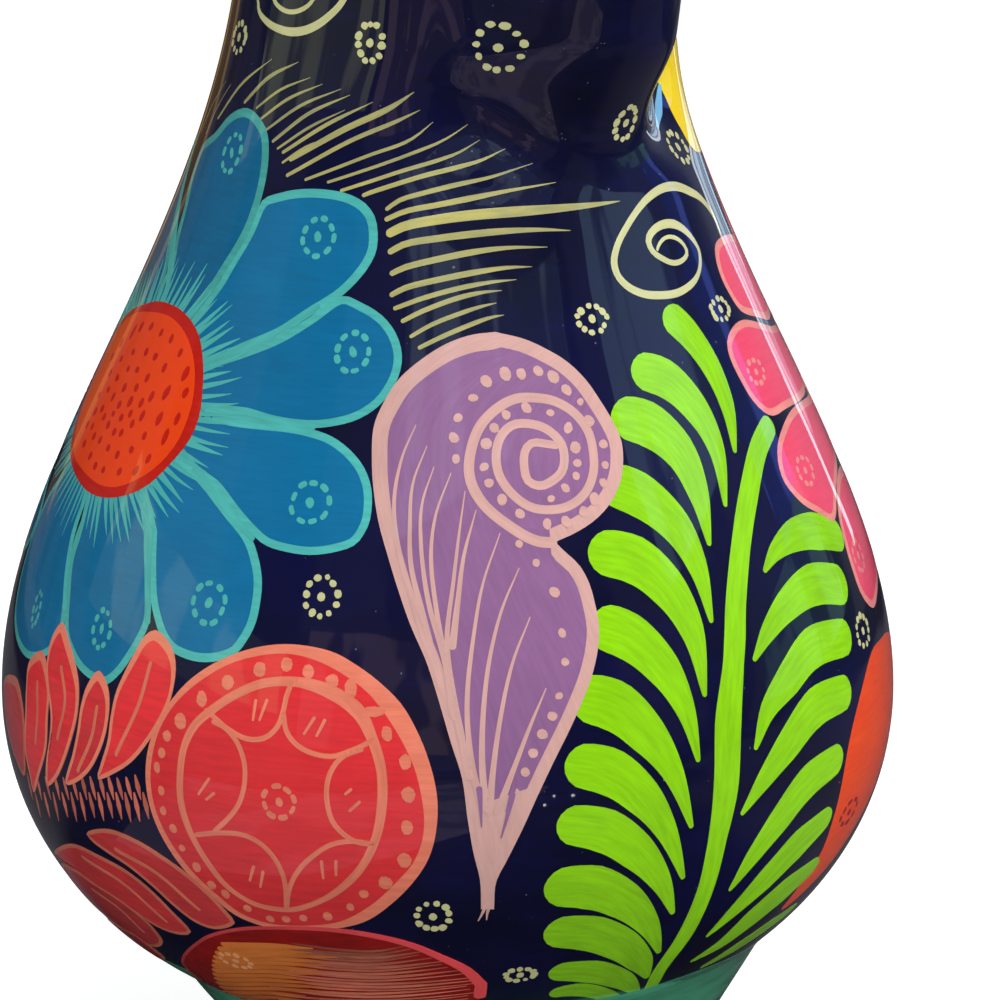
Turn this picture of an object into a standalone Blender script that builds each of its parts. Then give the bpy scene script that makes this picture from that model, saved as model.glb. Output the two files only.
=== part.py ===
"""A hand-built clay jug: ring foot, pear-shaped belly, neck with a pulled pouring lip, and strap handle.

The pieces are thrown or pulled separately and luted together. Metres, +Z up. The origin is on the belly's
axis, on the surface that the jug stands on. The lip points along +X and the handle stands on the -X side.
"""

import math

import bmesh
import bpy
from mathutils import Vector

# Outline of the vessel: radii, and the rise from each of these places to the next one up
BOTTOM_RADIUS = 0.050
BELLY_RADIUS = 0.100
NECK_RADIUS = 0.0435
MOUTH_RADIUS = 0.054
FOOT_RISE = 0.030
BELLY_RISE = 0.0633
NECK_RISE = 0.1827
MOUTH_RISE = 0.038

# How far the outline runs on straight, above and below each place, before it bends
BOTTOM_RUN = 0.014
BELLY_RUN_DOWN = 0.040
BELLY_RUN_UP = 0.0547
NECK_RUN_DOWN = 0.075
NECK_RUN_UP = 0.016
MOUTH_RUN = 0.018
MOUTH_FLARE = math.radians(32)

WALL = 0.006
FLOOR = 0.008
GAP = 0.0003

# Where the neck is luted on, above the widest part of the belly
JOIN_RISE = 0.1127

# Ring foot: a cone that tucks in under the belly, a waist, and a standing bead
SEAT_RADIUS = 0.0685
WAIST_RADIUS = 0.0535
WAIST_RISE = 0.0105
BEAD_RADIUS = 0.0575
BEAD_RISE = 0.0035
FOOT_WALL = 0.0065

# The foot was stuck on a little off the belly's axis
FOOT_SHIFT = 0.0055
FOOT_SHIFT_HEADING = math.radians(52)

# Pulled lip: a throat that stands out of the neck, drawn up between two finger dents
LIP_REACH = 0.028
LIP_SPREAD = math.radians(38)
LIP_LIFT = 0.006
LIP_START = 0.0035
LIP_RUN = 0.035
DENT_DEPTH = 0.009
DENT_HEADING = math.radians(28)
DENT_SPREAD = math.radians(14.5)
DENT_START = 0.003
DENT_RUN = 0.026
DENT_FADE = 0.40
DENT_TURN = math.radians(13)

# Strap handle, pulled by hand, with a groove down its back and a thumb mark where it was pressed on
HANDLE_WIDTH = 0.023
HANDLE_THICK = 0.0115
HANDLE_REACH = 0.042
HANDLE_DROP = 0.015
HANDLE_ROOT_RISE = 0.025
HANDLE_TAPER = 0.80
ROOT_SPREAD = 1.4
ROOT_SHARE = 0.17
GROOVE = 0.0016
THUMB_MARK = 0.0022

# Fineness of the faceted solids
TURNS = 72
SKIN_STEP = 0.0085
LINING_STEP = 0.013
SAMPLES = 160
RIM_SIDES = 6
STRAP_STATIONS = 22
STRAP_SIDES = 18

NAVY = (0.010, 0.012, 0.075, 1.0)
TEAL = (0.045, 0.330, 0.290, 1.0)

# Heights above the surface that the jug stands on
BELLY_HEIGHT = FOOT_RISE + BELLY_RISE
NECK_HEIGHT = BELLY_HEIGHT + NECK_RISE
MOUTH_HEIGHT = NECK_HEIGHT + MOUTH_RISE
JOIN_HEIGHT = BELLY_HEIGHT + JOIN_RISE


def clear_scene():
    for obj in list(bpy.data.objects):
        bpy.data.objects.remove(obj)


def glaze(name, colour):
    """Painted clay under a gloss varnish."""
    material = bpy.data.materials.new(name)
    material.use_nodes = True
    shader = material.node_tree.nodes["Principled BSDF"]
    shader.inputs["Base Color"].default_value = colour
    shader.inputs["Roughness"].default_value = 0.18
    shader.inputs["Metallic"].default_value = 0.0
    return material


# Outlines: lists of (radius, height), from the bottom up


def bezier(start, first, second, end):
    """Points on a cubic curve between two places."""
    points = []
    for i in range(SAMPLES + 1):
        t = i / SAMPLES
        s = 1 - t
        weights = (s**3, 3 * s * s * t, 3 * s * t * t, t**3)
        pairs = zip(start, first, second, end)
        points.append(tuple(sum(w * x for w, x in zip(weights, pair)) for pair in pairs))
    return points


def jug_outline():
    """The outer skin, from the edge of the flat bottom to the mouth."""
    flare = (math.sin(MOUTH_FLARE), math.cos(MOUTH_FLARE))
    under = bezier(
        (BOTTOM_RADIUS, FOOT_RISE),
        (BOTTOM_RADIUS + BOTTOM_RUN, FOOT_RISE),
        (BELLY_RADIUS, BELLY_HEIGHT - BELLY_RUN_DOWN),
        (BELLY_RADIUS, BELLY_HEIGHT),
    )
    shoulder = bezier(
        (BELLY_RADIUS, BELLY_HEIGHT),
        (BELLY_RADIUS, BELLY_HEIGHT + BELLY_RUN_UP),
        (NECK_RADIUS, NECK_HEIGHT - NECK_RUN_DOWN),
        (NECK_RADIUS, NECK_HEIGHT),
    )
    mouth = bezier(
        (NECK_RADIUS, NECK_HEIGHT),
        (NECK_RADIUS, NECK_HEIGHT + NECK_RUN_UP),
        (MOUTH_RADIUS - MOUTH_RUN * flare[0], MOUTH_HEIGHT - MOUTH_RUN * flare[1]),
        (MOUTH_RADIUS, MOUTH_HEIGHT),
    )
    return under + shoulder[1:] + mouth[1:]


def moved_in(points, distance):
    """The outline moved inwards, square to itself, by a wall's thickness."""
    moved = []
    for i, (radius, height) in enumerate(points):
        before = points[max(i - 1, 0)]
        after = points[min(i + 1, len(points) - 1)]
        along = Vector((after[0] - before[0], after[1] - before[1])).normalized()
        moved.append((radius - along.y * distance, height + along.x * distance))
    return moved


def radius_at(points, height):
    """Radius of an outline where it rises through a height."""
    for low, high in zip(points, points[1:]):
        if low[1] <= height < high[1]:
            share = (height - low[1]) / (high[1] - low[1])
            return low[0] + share * (high[0] - low[0])
    return points[-1][0] if height >= points[-1][1] else points[0][0]


def height_at(points, radius):
    """Height at which an outline first widens to a radius."""
    for low, high in zip(points, points[1:]):
        if low[0] <= radius < high[0]:
            share = (radius - low[0]) / (high[0] - low[0])
            return low[1] + share * (high[1] - low[1])
    return points[0][1]


def even(points, step):
    """The same line with its points spread evenly along it."""
    runs = [math.dist(a, b) for a, b in zip(points, points[1:])]
    length = sum(runs)
    count = max(2, round(length / step))
    spread = [points[0]]
    walked = 0.0
    i = 0
    for k in range(1, count):
        goal = length * k / count
        while walked + runs[i] < goal:
            walked += runs[i]
            i += 1
        share = (goal - walked) / runs[i]
        a, b = points[i], points[i + 1]
        spread.append((a[0] + share * (b[0] - a[0]), a[1] + share * (b[1] - a[1])))
    return spread + [points[-1]]


def between(points, low, high):
    """The part of an outline between two heights, ending exactly on them."""
    inside = [p for p in points if low < p[1] < high]
    return [(radius_at(points, low), low)] + inside + [(radius_at(points, high), high)]


def eased(share):
    """Smooth rise from 0 to 1."""
    share = min(max(share, 0.0), 1.0)
    return share * share * (3 - 2 * share)


def mound(distance, spread):
    """Smooth mound, 1 high, that fades out on both sides."""
    return math.exp(-((distance / spread) ** 2))


# Solids


def mesh_object(name, shape, material=None):
    """Puts a finished bmesh in the scene as a named object, smooth but for its real edges."""
    bmesh.ops.recalc_face_normals(shape, faces=shape.faces)
    mesh = bpy.data.meshes.new(name)
    shape.to_mesh(mesh)
    shape.free()
    mesh.shade_smooth()
    mesh.set_sharp_from_angle(angle=math.radians(40))
    obj = bpy.data.objects.new(name, mesh)
    bpy.context.scene.collection.objects.link(obj)
    if material:
        mesh.materials.append(material)
    return obj


def turned(outline, closed):
    """An outline thrown round the Z axis. One that isn't closed starts and ends on the axis."""
    shape = bmesh.new()
    verts = [shape.verts.new((radius, 0.0, height)) for radius, height in outline]
    edges = [shape.edges.new(pair) for pair in zip(verts, verts[1:])]
    if closed:
        edges.append(shape.edges.new((verts[-1], verts[0])))
    bmesh.ops.spin(
        shape,
        geom=verts + edges,
        cent=(0, 0, 0),
        axis=(0, 0, 1),
        angle=math.tau,
        steps=TURNS,
        use_merge=True,
    )
    bmesh.ops.remove_doubles(shape, verts=shape.verts, dist=1e-6)
    return shape


def cut_from(obj, cutter_name, shape):
    """Takes a hidden shape out of a piece."""
    cutter = mesh_object(cutter_name, shape)
    cutter.hide_render = True
    cutter.display_type = "WIRE"
    cut = obj.modifiers.new("seat", "BOOLEAN")
    cut.operation = "DIFFERENCE"
    cut.solver = "EXACT"
    cut.object = cutter


def make_belly(outer, inner, material):
    """Flat bottom, belly and shoulder, up to the flat edge on which the neck is luted."""
    floor_top = FOOT_RISE + FLOOR
    skin = even(between(outer, FOOT_RISE, JOIN_HEIGHT), SKIN_STEP)
    lining = even(between(inner, floor_top, JOIN_HEIGHT), LINING_STEP)
    outline = [(0.0, FOOT_RISE)] + skin + lining[::-1] + [(0.0, floor_top)]
    return mesh_object("belly", turned(outline, closed=False), material)


def pull_lip(shape):
    """Draws the pouring lip out of the soft round neck, with a finger dent on each side of its throat."""
    start = JOIN_HEIGHT + LIP_START
    for vert in shape.verts:
        radius = math.hypot(vert.co.x, vert.co.y)
        heading = abs(math.atan2(vert.co.y, vert.co.x))
        climb = max((vert.co.z - start) / (MOUTH_HEIGHT - start), 0.0)
        swell = (1 - (1 - min(climb, 1.0)) ** 3) * eased((vert.co.z - start) / LIP_RUN)
        press = eased((vert.co.z - JOIN_HEIGHT - DENT_START) / DENT_RUN) * (1 - DENT_FADE * climb)
        throat = mound(heading, LIP_SPREAD)
        dent = mound(heading - DENT_HEADING - DENT_TURN * climb**2, DENT_SPREAD)
        pulled = radius + LIP_REACH * swell * throat - DENT_DEPTH * press * dent
        vert.co.x *= pulled / radius
        vert.co.y *= pulled / radius
        vert.co.z += LIP_LIFT * climb**3 * throat


def make_neck(outer, inner, material):
    """Neck thrown as a ring with a rounded rim, and its lip pulled while the clay is soft."""
    low = JOIN_HEIGHT + GAP
    skin = even(between(outer, low, MOUTH_HEIGHT), SKIN_STEP)
    lining = even(between(inner, low, inner[-1][1]), LINING_STEP)
    middle = (Vector(skin[-1]) + Vector(lining[-1])) / 2
    across = Vector(skin[-1]) - middle
    up = Vector((-across.y, across.x))
    rim = []
    for k in range(1, RIM_SIDES):
        turn = math.pi * k / RIM_SIDES
        rim.append(tuple(middle + across * math.cos(turn) + up * math.sin(turn)))
    shape = turned(skin + rim + lining[::-1], closed=True)
    pull_lip(shape)
    return mesh_object("neck", shape, material)


def make_foot(outer, material):
    """Ring foot under the belly: outside cone, waist and bead, and a plain bore."""
    seat_height = height_at(outer, SEAT_RADIUS)
    slope = (SEAT_RADIUS - WAIST_RADIUS) / (seat_height - WAIST_RISE)
    top = (SEAT_RADIUS + slope * FLOOR, seat_height + FLOOR)
    run = (seat_height - WAIST_RISE) / 2
    cone = bezier(
        top,
        (top[0] - slope * run, top[1] - run),
        (WAIST_RADIUS, WAIST_RISE + run / 2),
        (WAIST_RADIUS, WAIST_RISE),
    )
    bead_run = (WAIST_RISE - BEAD_RISE) / 2
    flare = bezier(
        (WAIST_RADIUS, WAIST_RISE),
        (WAIST_RADIUS, WAIST_RISE - bead_run),
        (BEAD_RADIUS, BEAD_RISE + bead_run),
        (BEAD_RADIUS, BEAD_RISE),
    )
    bead = bezier(
        (BEAD_RADIUS, BEAD_RISE),
        (BEAD_RADIUS, BEAD_RISE / 2),
        (BEAD_RADIUS - BEAD_RISE / 2, 0.0),
        (BEAD_RADIUS - BEAD_RISE, 0.0),
    )
    bore = [
        (WAIST_RADIUS - FOOT_WALL, 0.0),
        (WAIST_RADIUS - FOOT_WALL, WAIST_RISE),
        (top[0] - FOOT_WALL, top[1]),
    ]
    outline = even(cone, SKIN_STEP) + even(flare, SKIN_STEP / 3)[1:] + even(bead, SKIN_STEP / 5)[1:]
    shape = turned(outline + bore, closed=True)
    shift = Vector((math.cos(FOOT_SHIFT_HEADING), math.sin(FOOT_SHIFT_HEADING), 0))
    bmesh.ops.translate(shape, verts=shape.verts, vec=shift * FOOT_SHIFT)
    foot = mesh_object("foot", shape, material)
    under = even(between(moved_in(outer, -GAP), FOOT_RISE - GAP, BELLY_HEIGHT), SKIN_STEP)
    seat = [(0.0, FOOT_RISE - GAP)] + under + [(0.0, BELLY_HEIGHT)]
    cut_from(foot, "foot_seat", turned(seat, closed=False))
    return foot


def handle_line(outer):
    """Middle line of the strap, from deep in the neck under the rim, round to deep in its lower part."""
    high = MOUTH_HEIGHT - HANDLE_DROP
    low = JOIN_HEIGHT + HANDLE_ROOT_RISE
    reach = NECK_RADIUS + HANDLE_REACH
    elbow = high - (high - low) * 0.42
    drop = high - elbow
    rise = elbow - low
    top = (radius_at(outer, high) - HANDLE_THICK, high)
    end = (radius_at(outer, low) - HANDLE_THICK, low)
    over = bezier(top, (reach * 0.86, high + drop * 0.42), (reach, elbow + drop * 0.55), (reach, elbow))
    under = bezier((reach, elbow), (reach, elbow - rise * 0.50), (reach * 0.70, low + rise * 0.20), end)
    return over + under[1:]


def strap_section(width, thick, mark):
    """Oval section, flattened against the jug, with a groove on the side away from it."""
    ring = []
    for k in range(STRAP_SIDES):
        turn = math.tau * k / STRAP_SIDES
        across = width / 2 * math.cos(turn)
        out = thick / 2 * math.sin(turn)
        if out > 0:
            out -= (GROOVE + mark) * mound(across, width * 0.24)
        ring.append((across, out))
    return ring


def make_handle(outer, material):
    """Pulled strap: springs from under the rim, loops clear of the neck, and is thumbed on at its foot."""
    line = handle_line(outer)
    length = sum(math.dist(a, b) for a, b in zip(line, line[1:]))
    line = even(line, length / STRAP_STATIONS)
    shape = bmesh.new()
    loops = []
    for i, (radius, height) in enumerate(line):
        before = line[max(i - 1, 0)]
        after = line[min(i + 1, len(line) - 1)]
        along = Vector((before[0] - after[0], 0, after[1] - before[1])).normalized()
        outward = Vector((along.z, 0, -along.x))
        share = i / (len(line) - 1)
        root = max(1 - share / ROOT_SHARE, 1 - (1 - share) / ROOT_SHARE, 0.0)
        size = (1 - (1 - HANDLE_TAPER) * share) * (1 + (ROOT_SPREAD - 1) * eased(root))
        mark = THUMB_MARK * mound(1 - ROOT_SHARE - share, ROOT_SHARE / 2)
        centre = Vector((-radius, 0, height))
        section = strap_section(HANDLE_WIDTH * size, HANDLE_THICK * size, mark)
        verts = [shape.verts.new(centre + Vector((0, y, 0)) + outward * out) for y, out in section]
        loops.append([shape.edges.new(pair) for pair in zip(verts, verts[1:] + verts[:1])])
    for near, far in zip(loops, loops[1:]):
        bmesh.ops.bridge_loops(shape, edges=near + far)
    bmesh.ops.contextual_create(shape, geom=loops[0])
    bmesh.ops.contextual_create(shape, geom=loops[-1])
    handle = mesh_object("handle", shape, material)
    skin = even(between(moved_in(outer, -GAP), JOIN_HEIGHT, MOUTH_HEIGHT), SKIN_STEP)
    above = MOUTH_HEIGHT + WALL
    seat = [(0.0, JOIN_HEIGHT)] + skin + [(skin[-1][0], above), (0.0, above)]
    cut_from(handle, "handle_seat", turned(seat, closed=False))
    return handle


def main():
    clear_scene()
    navy = glaze("navy_paint", NAVY)
    teal = glaze("teal_paint", TEAL)
    outer = jug_outline()
    inner = moved_in(outer, WALL)
    make_belly(outer, inner, navy)
    make_neck(outer, inner, navy)
    make_foot(outer, teal)
    make_handle(outer, teal)


main()
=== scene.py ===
import math

import bpy
import numpy as np
from bpy.props import FloatProperty, FloatVectorProperty, PointerProperty
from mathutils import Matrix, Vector
from mathutils.bvhtree import BVHTree


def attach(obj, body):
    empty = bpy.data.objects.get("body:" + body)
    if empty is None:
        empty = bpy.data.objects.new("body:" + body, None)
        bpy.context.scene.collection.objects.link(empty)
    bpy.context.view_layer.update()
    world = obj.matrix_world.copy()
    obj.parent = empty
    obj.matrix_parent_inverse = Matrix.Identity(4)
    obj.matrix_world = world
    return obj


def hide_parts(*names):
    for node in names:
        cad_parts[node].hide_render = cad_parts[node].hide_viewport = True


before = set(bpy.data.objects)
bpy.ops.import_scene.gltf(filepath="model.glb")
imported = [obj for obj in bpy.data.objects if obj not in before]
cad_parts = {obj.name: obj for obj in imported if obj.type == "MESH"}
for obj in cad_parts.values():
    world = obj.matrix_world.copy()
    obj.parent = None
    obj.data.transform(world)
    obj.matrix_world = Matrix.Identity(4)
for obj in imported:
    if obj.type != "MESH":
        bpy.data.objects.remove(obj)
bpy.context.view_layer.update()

bl_info = {
    "name": "Painted Clay Jug",
    "version": (1, 0, 0),
    "blender": (4, 5, 0),
    "location": "3D View > Sidebar > Clay Jug",
    "description": "Builds the painted and varnished looks of a pear-shaped clay pouring jug",
    "category": "Mesh",
}

# The clay form, in metres, as the frame's solids have it

BOTTOM_RADIUS = 0.050
BELLY_RADIUS = 0.100
NECK_RADIUS = 0.0435
MOUTH_RADIUS = 0.054
FOOT_RISE = 0.030
BELLY_HEIGHT = 0.0933
JOIN_HEIGHT = 0.206
NECK_HEIGHT = 0.276
MOUTH_HEIGHT = 0.314
BOTTOM_RUN = 0.014
BELLY_RUN_DOWN = 0.040
BELLY_RUN_UP = 0.0547
NECK_RUN_DOWN = 0.075
NECK_RUN_UP = 0.016
MOUTH_RUN = 0.018
MOUTH_FLARE = math.radians(32)
WALL = 0.006
FLOOR = 0.008

LIP_REACH = 0.028
LIP_SPREAD = math.radians(38)
LIP_LIFT = 0.006
LIP_START = 0.0035
LIP_RUN = 0.035
DENT_DEPTH = 0.009
DENT_HEADING = math.radians(28)
DENT_SPREAD = math.radians(14.5)
DENT_START = 0.003
DENT_RUN = 0.026
DENT_FADE = 0.40
DENT_TURN = math.radians(13)

SEAT_RADIUS = 0.0685
WAIST_RADIUS = 0.0535
WAIST_RISE = 0.0105
BEAD_RADIUS = 0.0575
BEAD_RISE = 0.0035
FOOT_WALL = 0.0065
FOOT_SHIFT = 0.0055
FOOT_SHIFT_HEADING = math.radians(52)

HANDLE_WIDTH = 0.023
HANDLE_THICK = 0.0115
HANDLE_REACH = 0.042
HANDLE_DROP = 0.015
HANDLE_ROOT_RISE = 0.025
HANDLE_TAPER = 0.80
ROOT_SPREAD = 1.4
ROOT_SHARE = 0.17
GROOVE = 0.0016
THUMB_MARK = 0.0022

# The camera: its heading and rise round the jug, its distance and its focal length in pixels

FRAME_PIXELS = 1000
VIEW_HEADING = math.radians(52)
VIEW_RISE = math.radians(14)
VIEW_DISTANCE = 0.90
AIM_HEIGHT = 0.135
AIM_ASIDE = 0.0117
FOCAL_PIXELS = 4033
SENSOR_MM = 36.0

SKIN_STEP = 0.00135
BODY_TURNS = 256
CURVE_STEPS = 160
WELD = 1e-6
SMOOTH_ANGLE = math.radians(35)
# Radius that stands for the whole jug where only the proportions of chart spots count
TYPICAL_RADIUS = 0.08


def display(red, green, blue):
    """A colour given in screen values of 0 to 255, as the linear value that a shader takes."""
    linear = []
    for value in (red, green, blue):
        share = value / 255
        linear.append(share / 12.92 if share <= 0.04045 else ((share + 0.055) / 1.055) ** 2.4)
    return tuple(linear)


def colour(label, about, *screen):
    """A colour that the user can change."""
    shown = display(*screen)
    return FloatVectorProperty(
        name=label, description=about, default=shown, min=0.0, max=1.0, size=3, subtype="COLOR"
    )


def metres(label, about, default, low, high):
    """A length that the user can change."""
    return FloatProperty(
        name=label, description=about, default=default, min=low, max=high, unit="LENGTH"
    )


def strength(label, about, default, high, kind):
    """A strength of light that the user can change."""
    return FloatProperty(
        name=label, description=about, default=default, min=0.0, max=high, subtype=kind
    )


class JugPaints(bpy.types.PropertyGroup):
    """Colours of the clay and of the paints on it"""

    navy: colour("Navy", "Ground colour of belly and neck", 7, 9, 62)
    teal: colour("Teal", "Colour of the foot and the strip of belly over it", 76, 168, 132)
    clay: colour("Clay", "Bare fired clay", 176, 98, 62)
    blue: colour("Blue", "Petals of the daisy", 0, 114, 164)
    turquoise: colour("Turquoise", "Edges and fine hairs of the daisy", 80, 190, 184)
    cream: colour("Cream", "Fan strokes, spirals and rosettes", 222, 222, 160)
    purple: colour("Purple", "Filling of the paisley", 150, 104, 152)
    mauve: colour("Mauve", "Edge and lines of the paisley", 222, 174, 166)
    lime: colour("Lime", "Fern", 150, 226, 0)
    crimson: colour("Crimson", "Filling of the round flower and the leaves", 244, 50, 56)
    salmon: colour("Salmon", "Edges of the round flower and the leaves", 255, 136, 108)
    pink: colour("Pink", "Petals of the far daisy", 255, 78, 112)
    flame: colour("Flame", "Heart of the daisy", 255, 68, 0)
    red: colour("Dark red", "Marks on the orange petals", 186, 12, 14)
    yellow: colour("Yellow", "Petals beside the lip", 255, 232, 0)
    sky: colour("Sky blue", "Dab on the neck, and edge of the blue round flower", 130, 200, 250)


class JugSizes(bpy.types.PropertyGroup):
    """Sizes of the paint and of the potter's marks"""

    coat: metres(
        "Paint coat", "Height of one coat of paint over the one under it", 0.000035, 0.00001, 0.0002
    )
    sunk: metres(
        "Paint depth", "How far paint reaches into the skin that carries it", 0.0001, 0.00005, 0.0005
    )
    dab_step: metres(
        "Dab fineness", "Length of one face of a dab of paint", 0.0018, 0.0005, 0.005
    )
    ring_pitch: metres(
        "Throwing ring pitch", "Distance between the finger rings inside", 0.0062, 0.002, 0.02
    )
    ring_height: metres(
        "Throwing ring height", "Height of the finger rings inside", 0.00022, 0.0, 0.001
    )
    slip_reach: metres(
        "Slip fillet", "Reach of the slip that joins foot and belly", 0.0035, 0.001, 0.008
    )


class JugStudio(bpy.types.PropertyGroup):
    """Light and room round the jug"""

    key: strength("Key light", "Power of the large soft lamp in front", 19.0, 100.0, "POWER")
    fill: strength("Fill light", "Power of the soft lamp at the side", 4.4, 100.0, "POWER")
    sky: strength("Room light", "Strength of the even light from the room", 0.30, 4.0, "FACTOR")


def paints():
    return bpy.context.scene.jug_paints


def sizes():
    return bpy.context.scene.jug_sizes


def studio():
    return bpy.context.scene.jug_studio


# The outer skin as a chart: a place on it is a heading round the axis and a climb along the outline


def eased(share):
    """Smooth rise from 0 to 1."""
    share = np.clip(share, 0.0, 1.0)
    return share * share * (3 - 2 * share)


def mound(distance, spread):
    """Smooth mound, 1 high, that fades out on both sides."""
    return np.exp(-((distance / spread) ** 2))


def bezier(start, first, second, end, count=CURVE_STEPS):
    """Points on a cubic curve between two places."""
    t = np.linspace(0.0, 1.0, count + 1)[:, None]
    s = 1 - t
    start, first, second, end = (np.array(p, float) for p in (start, first, second, end))
    return s**3 * start + 3 * s * s * t * first + 3 * s * t * t * second + t**3 * end


def jug_outline():
    """The outer skin's radius and height, from the edge of the flat bottom to the mouth."""
    flare = (math.sin(MOUTH_FLARE), math.cos(MOUTH_FLARE))
    under = bezier(
        (BOTTOM_RADIUS, FOOT_RISE),
        (BOTTOM_RADIUS + BOTTOM_RUN, FOOT_RISE),
        (BELLY_RADIUS, BELLY_HEIGHT - BELLY_RUN_DOWN),
        (BELLY_RADIUS, BELLY_HEIGHT),
    )
    shoulder = bezier(
        (BELLY_RADIUS, BELLY_HEIGHT),
        (BELLY_RADIUS, BELLY_HEIGHT + BELLY_RUN_UP),
        (NECK_RADIUS, NECK_HEIGHT - NECK_RUN_DOWN),
        (NECK_RADIUS, NECK_HEIGHT),
    )
    mouth = bezier(
        (NECK_RADIUS, NECK_HEIGHT),
        (NECK_RADIUS, NECK_HEIGHT + NECK_RUN_UP),
        (MOUTH_RADIUS - MOUTH_RUN * flare[0], MOUTH_HEIGHT - MOUTH_RUN * flare[1]),
        (MOUTH_RADIUS, MOUTH_HEIGHT),
    )
    return np.concatenate([under, shoulder[1:], mouth[1:]])


def moved_in(line, distance):
    """The outline moved inwards, square to itself."""
    along = np.gradient(line, axis=0)
    along /= np.linalg.norm(along, axis=1, keepdims=True)
    return line + distance * np.stack([-along[:, 1], along[:, 0]], 1)


def walked(line):
    """Length along a line at each of its points."""
    return np.concatenate([[0.0], np.cumsum(np.linalg.norm(np.diff(line, axis=0), axis=1))])


def even(line, step):
    """The same line with its points spread evenly along it."""
    run = walked(line)
    count = max(2, round(run[-1] / step))
    goals = np.linspace(0.0, run[-1], count + 1)
    return np.stack([np.interp(goals, run, line[:, k]) for k in range(line.shape[1])], 1)


OUTLINE = jug_outline()
CHART_LINE = np.concatenate([np.array([[0.0, FOOT_RISE]]), OUTLINE])
CHART_CLIMB = walked(CHART_LINE)
TOP_CLIMB = CHART_CLIMB[-1]
SEEN_FROM_CLIMB = 0.035


def pulled(heading, radius, height):
    """Draws the pouring lip and the two finger dents of its throat out of the round neck."""
    aside = np.abs((heading + math.pi) % math.tau - math.pi)
    start = JOIN_HEIGHT + LIP_START
    climb = np.maximum((height - start) / (MOUTH_HEIGHT - start), 0.0)
    swell = (1 - (1 - np.minimum(climb, 1.0)) ** 3) * eased((height - start) / LIP_RUN)
    press = eased((height - JOIN_HEIGHT - DENT_START) / DENT_RUN) * (1 - DENT_FADE * climb)
    throat = mound(aside, LIP_SPREAD)
    dent = mound(aside - DENT_HEADING - DENT_TURN * climb**2, DENT_SPREAD)
    return (
        radius + LIP_REACH * swell * throat - DENT_DEPTH * press * dent,
        height + LIP_LIFT * climb**3 * throat,
    )


def around(heading, radius, height):
    """Places at a heading, radius and height."""
    return np.stack([radius * np.cos(heading), radius * np.sin(heading), height], -1)


def on_skin(spots):
    """Places of chart spots on the outer skin."""
    heading, climb = spots[..., 0], spots[..., 1]
    radius = np.interp(climb, CHART_CLIMB, CHART_LINE[:, 0])
    height = np.interp(climb, CHART_CLIMB, CHART_LINE[:, 1])
    return around(heading, *pulled(heading, radius, height))


def outwards(spots, reach=0.0006):
    """Directions square to the outer skin at chart spots."""
    aside = np.array([reach / TYPICAL_RADIUS, 0.0])
    ahead = np.array([0.0, reach])
    across = on_skin(spots + aside) - on_skin(spots - aside)
    upwards = on_skin(spots + ahead) - on_skin(spots - ahead)
    square = np.cross(across, upwards)
    return square / np.linalg.norm(square, axis=-1, keepdims=True)


def girth(climb):
    """Radius of the outline at a climb, for turning angles into lengths."""
    return np.maximum(np.interp(climb, CHART_CLIMB, CHART_LINE[:, 0]), 0.02)


def camera_axes():
    """Eye point and the camera's right, up and backward directions."""
    right = Vector((math.cos(VIEW_HEADING), math.sin(VIEW_HEADING), 0.0))
    back = Vector(
        (
            math.sin(VIEW_HEADING) * math.cos(VIEW_RISE),
            -math.cos(VIEW_HEADING) * math.cos(VIEW_RISE),
            math.sin(VIEW_RISE),
        )
    )
    eye = Vector((0.0, 0.0, AIM_HEIGHT)) + AIM_ASIDE * right + VIEW_DISTANCE * back
    return eye, right, back.cross(right), back


def skin_tree():
    """The outer skin as a mesh that lines of sight can meet."""
    headings = np.linspace(-math.pi, math.pi, 401)
    climbs = np.linspace(SEEN_FROM_CLIMB, TOP_CLIMB, 321)
    spots = np.stack(np.meshgrid(headings, climbs), -1)
    places = on_skin(spots).reshape(-1, 3)
    index = np.arange(places.shape[0]).reshape(spots.shape[:2])
    corners = (index[:-1, :-1], index[:-1, 1:], index[1:, 1:], index[1:, :-1])
    faces = np.stack(corners, -1).reshape(-1, 4)
    return BVHTree.FromPolygons(places.tolist(), faces.tolist())


SKIN_TREE = skin_tree()
EYE, SIGHT_RIGHT, SIGHT_UP, SIGHT_BACK = camera_axes()
MIDDLE_PIXEL = FRAME_PIXELS / 2
AXIS_PIXEL = 448
INWARD_STEPS = 40


def met(x, y):
    """Where the line of sight through a pixel meets the skin, or None."""
    aside = (x - MIDDLE_PIXEL) / FOCAL_PIXELS
    above = (MIDDLE_PIXEL - y) / FOCAL_PIXELS
    sight = aside * SIGHT_RIGHT + above * SIGHT_UP - SIGHT_BACK
    return SKIN_TREE.ray_cast(EYE, sight.normalized())[0]


def spot(x, y, past=0.0):
    """Chart spot of a pixel, or past it by some degrees of heading where a shape goes on behind."""
    towards = math.copysign(1.0, AXIS_PIXEL - x)
    for step in range(INWARD_STEPS):
        place = met(x + step * towards, y)
        if place is not None:
            break
    else:
        raise RuntimeError(f"the line of sight through {x}, {y} misses the jug")
    heading = math.atan2(place.y, place.x)
    height = place.z
    for _ in range(8):
        lift = float(pulled(heading, 1.0, height)[1]) - height
        height = place.z - lift
    climb = float(np.interp(height, CHART_LINE[1:, 1], CHART_CLIMB[1:]))
    if heading > math.pi / 2:
        heading -= math.tau
    return heading + math.radians(past), climb


def spots(pixels):
    """Chart spots of a list of pixels."""
    return np.array([spot(*pixel) for pixel in pixels])


def place(heading, height):
    """Chart spot at a heading in degrees and a height of the outline in millimetres."""
    return math.radians(heading), float(np.interp(height / 1000, CHART_LINE[1:, 1], CHART_CLIMB[1:]))


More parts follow.
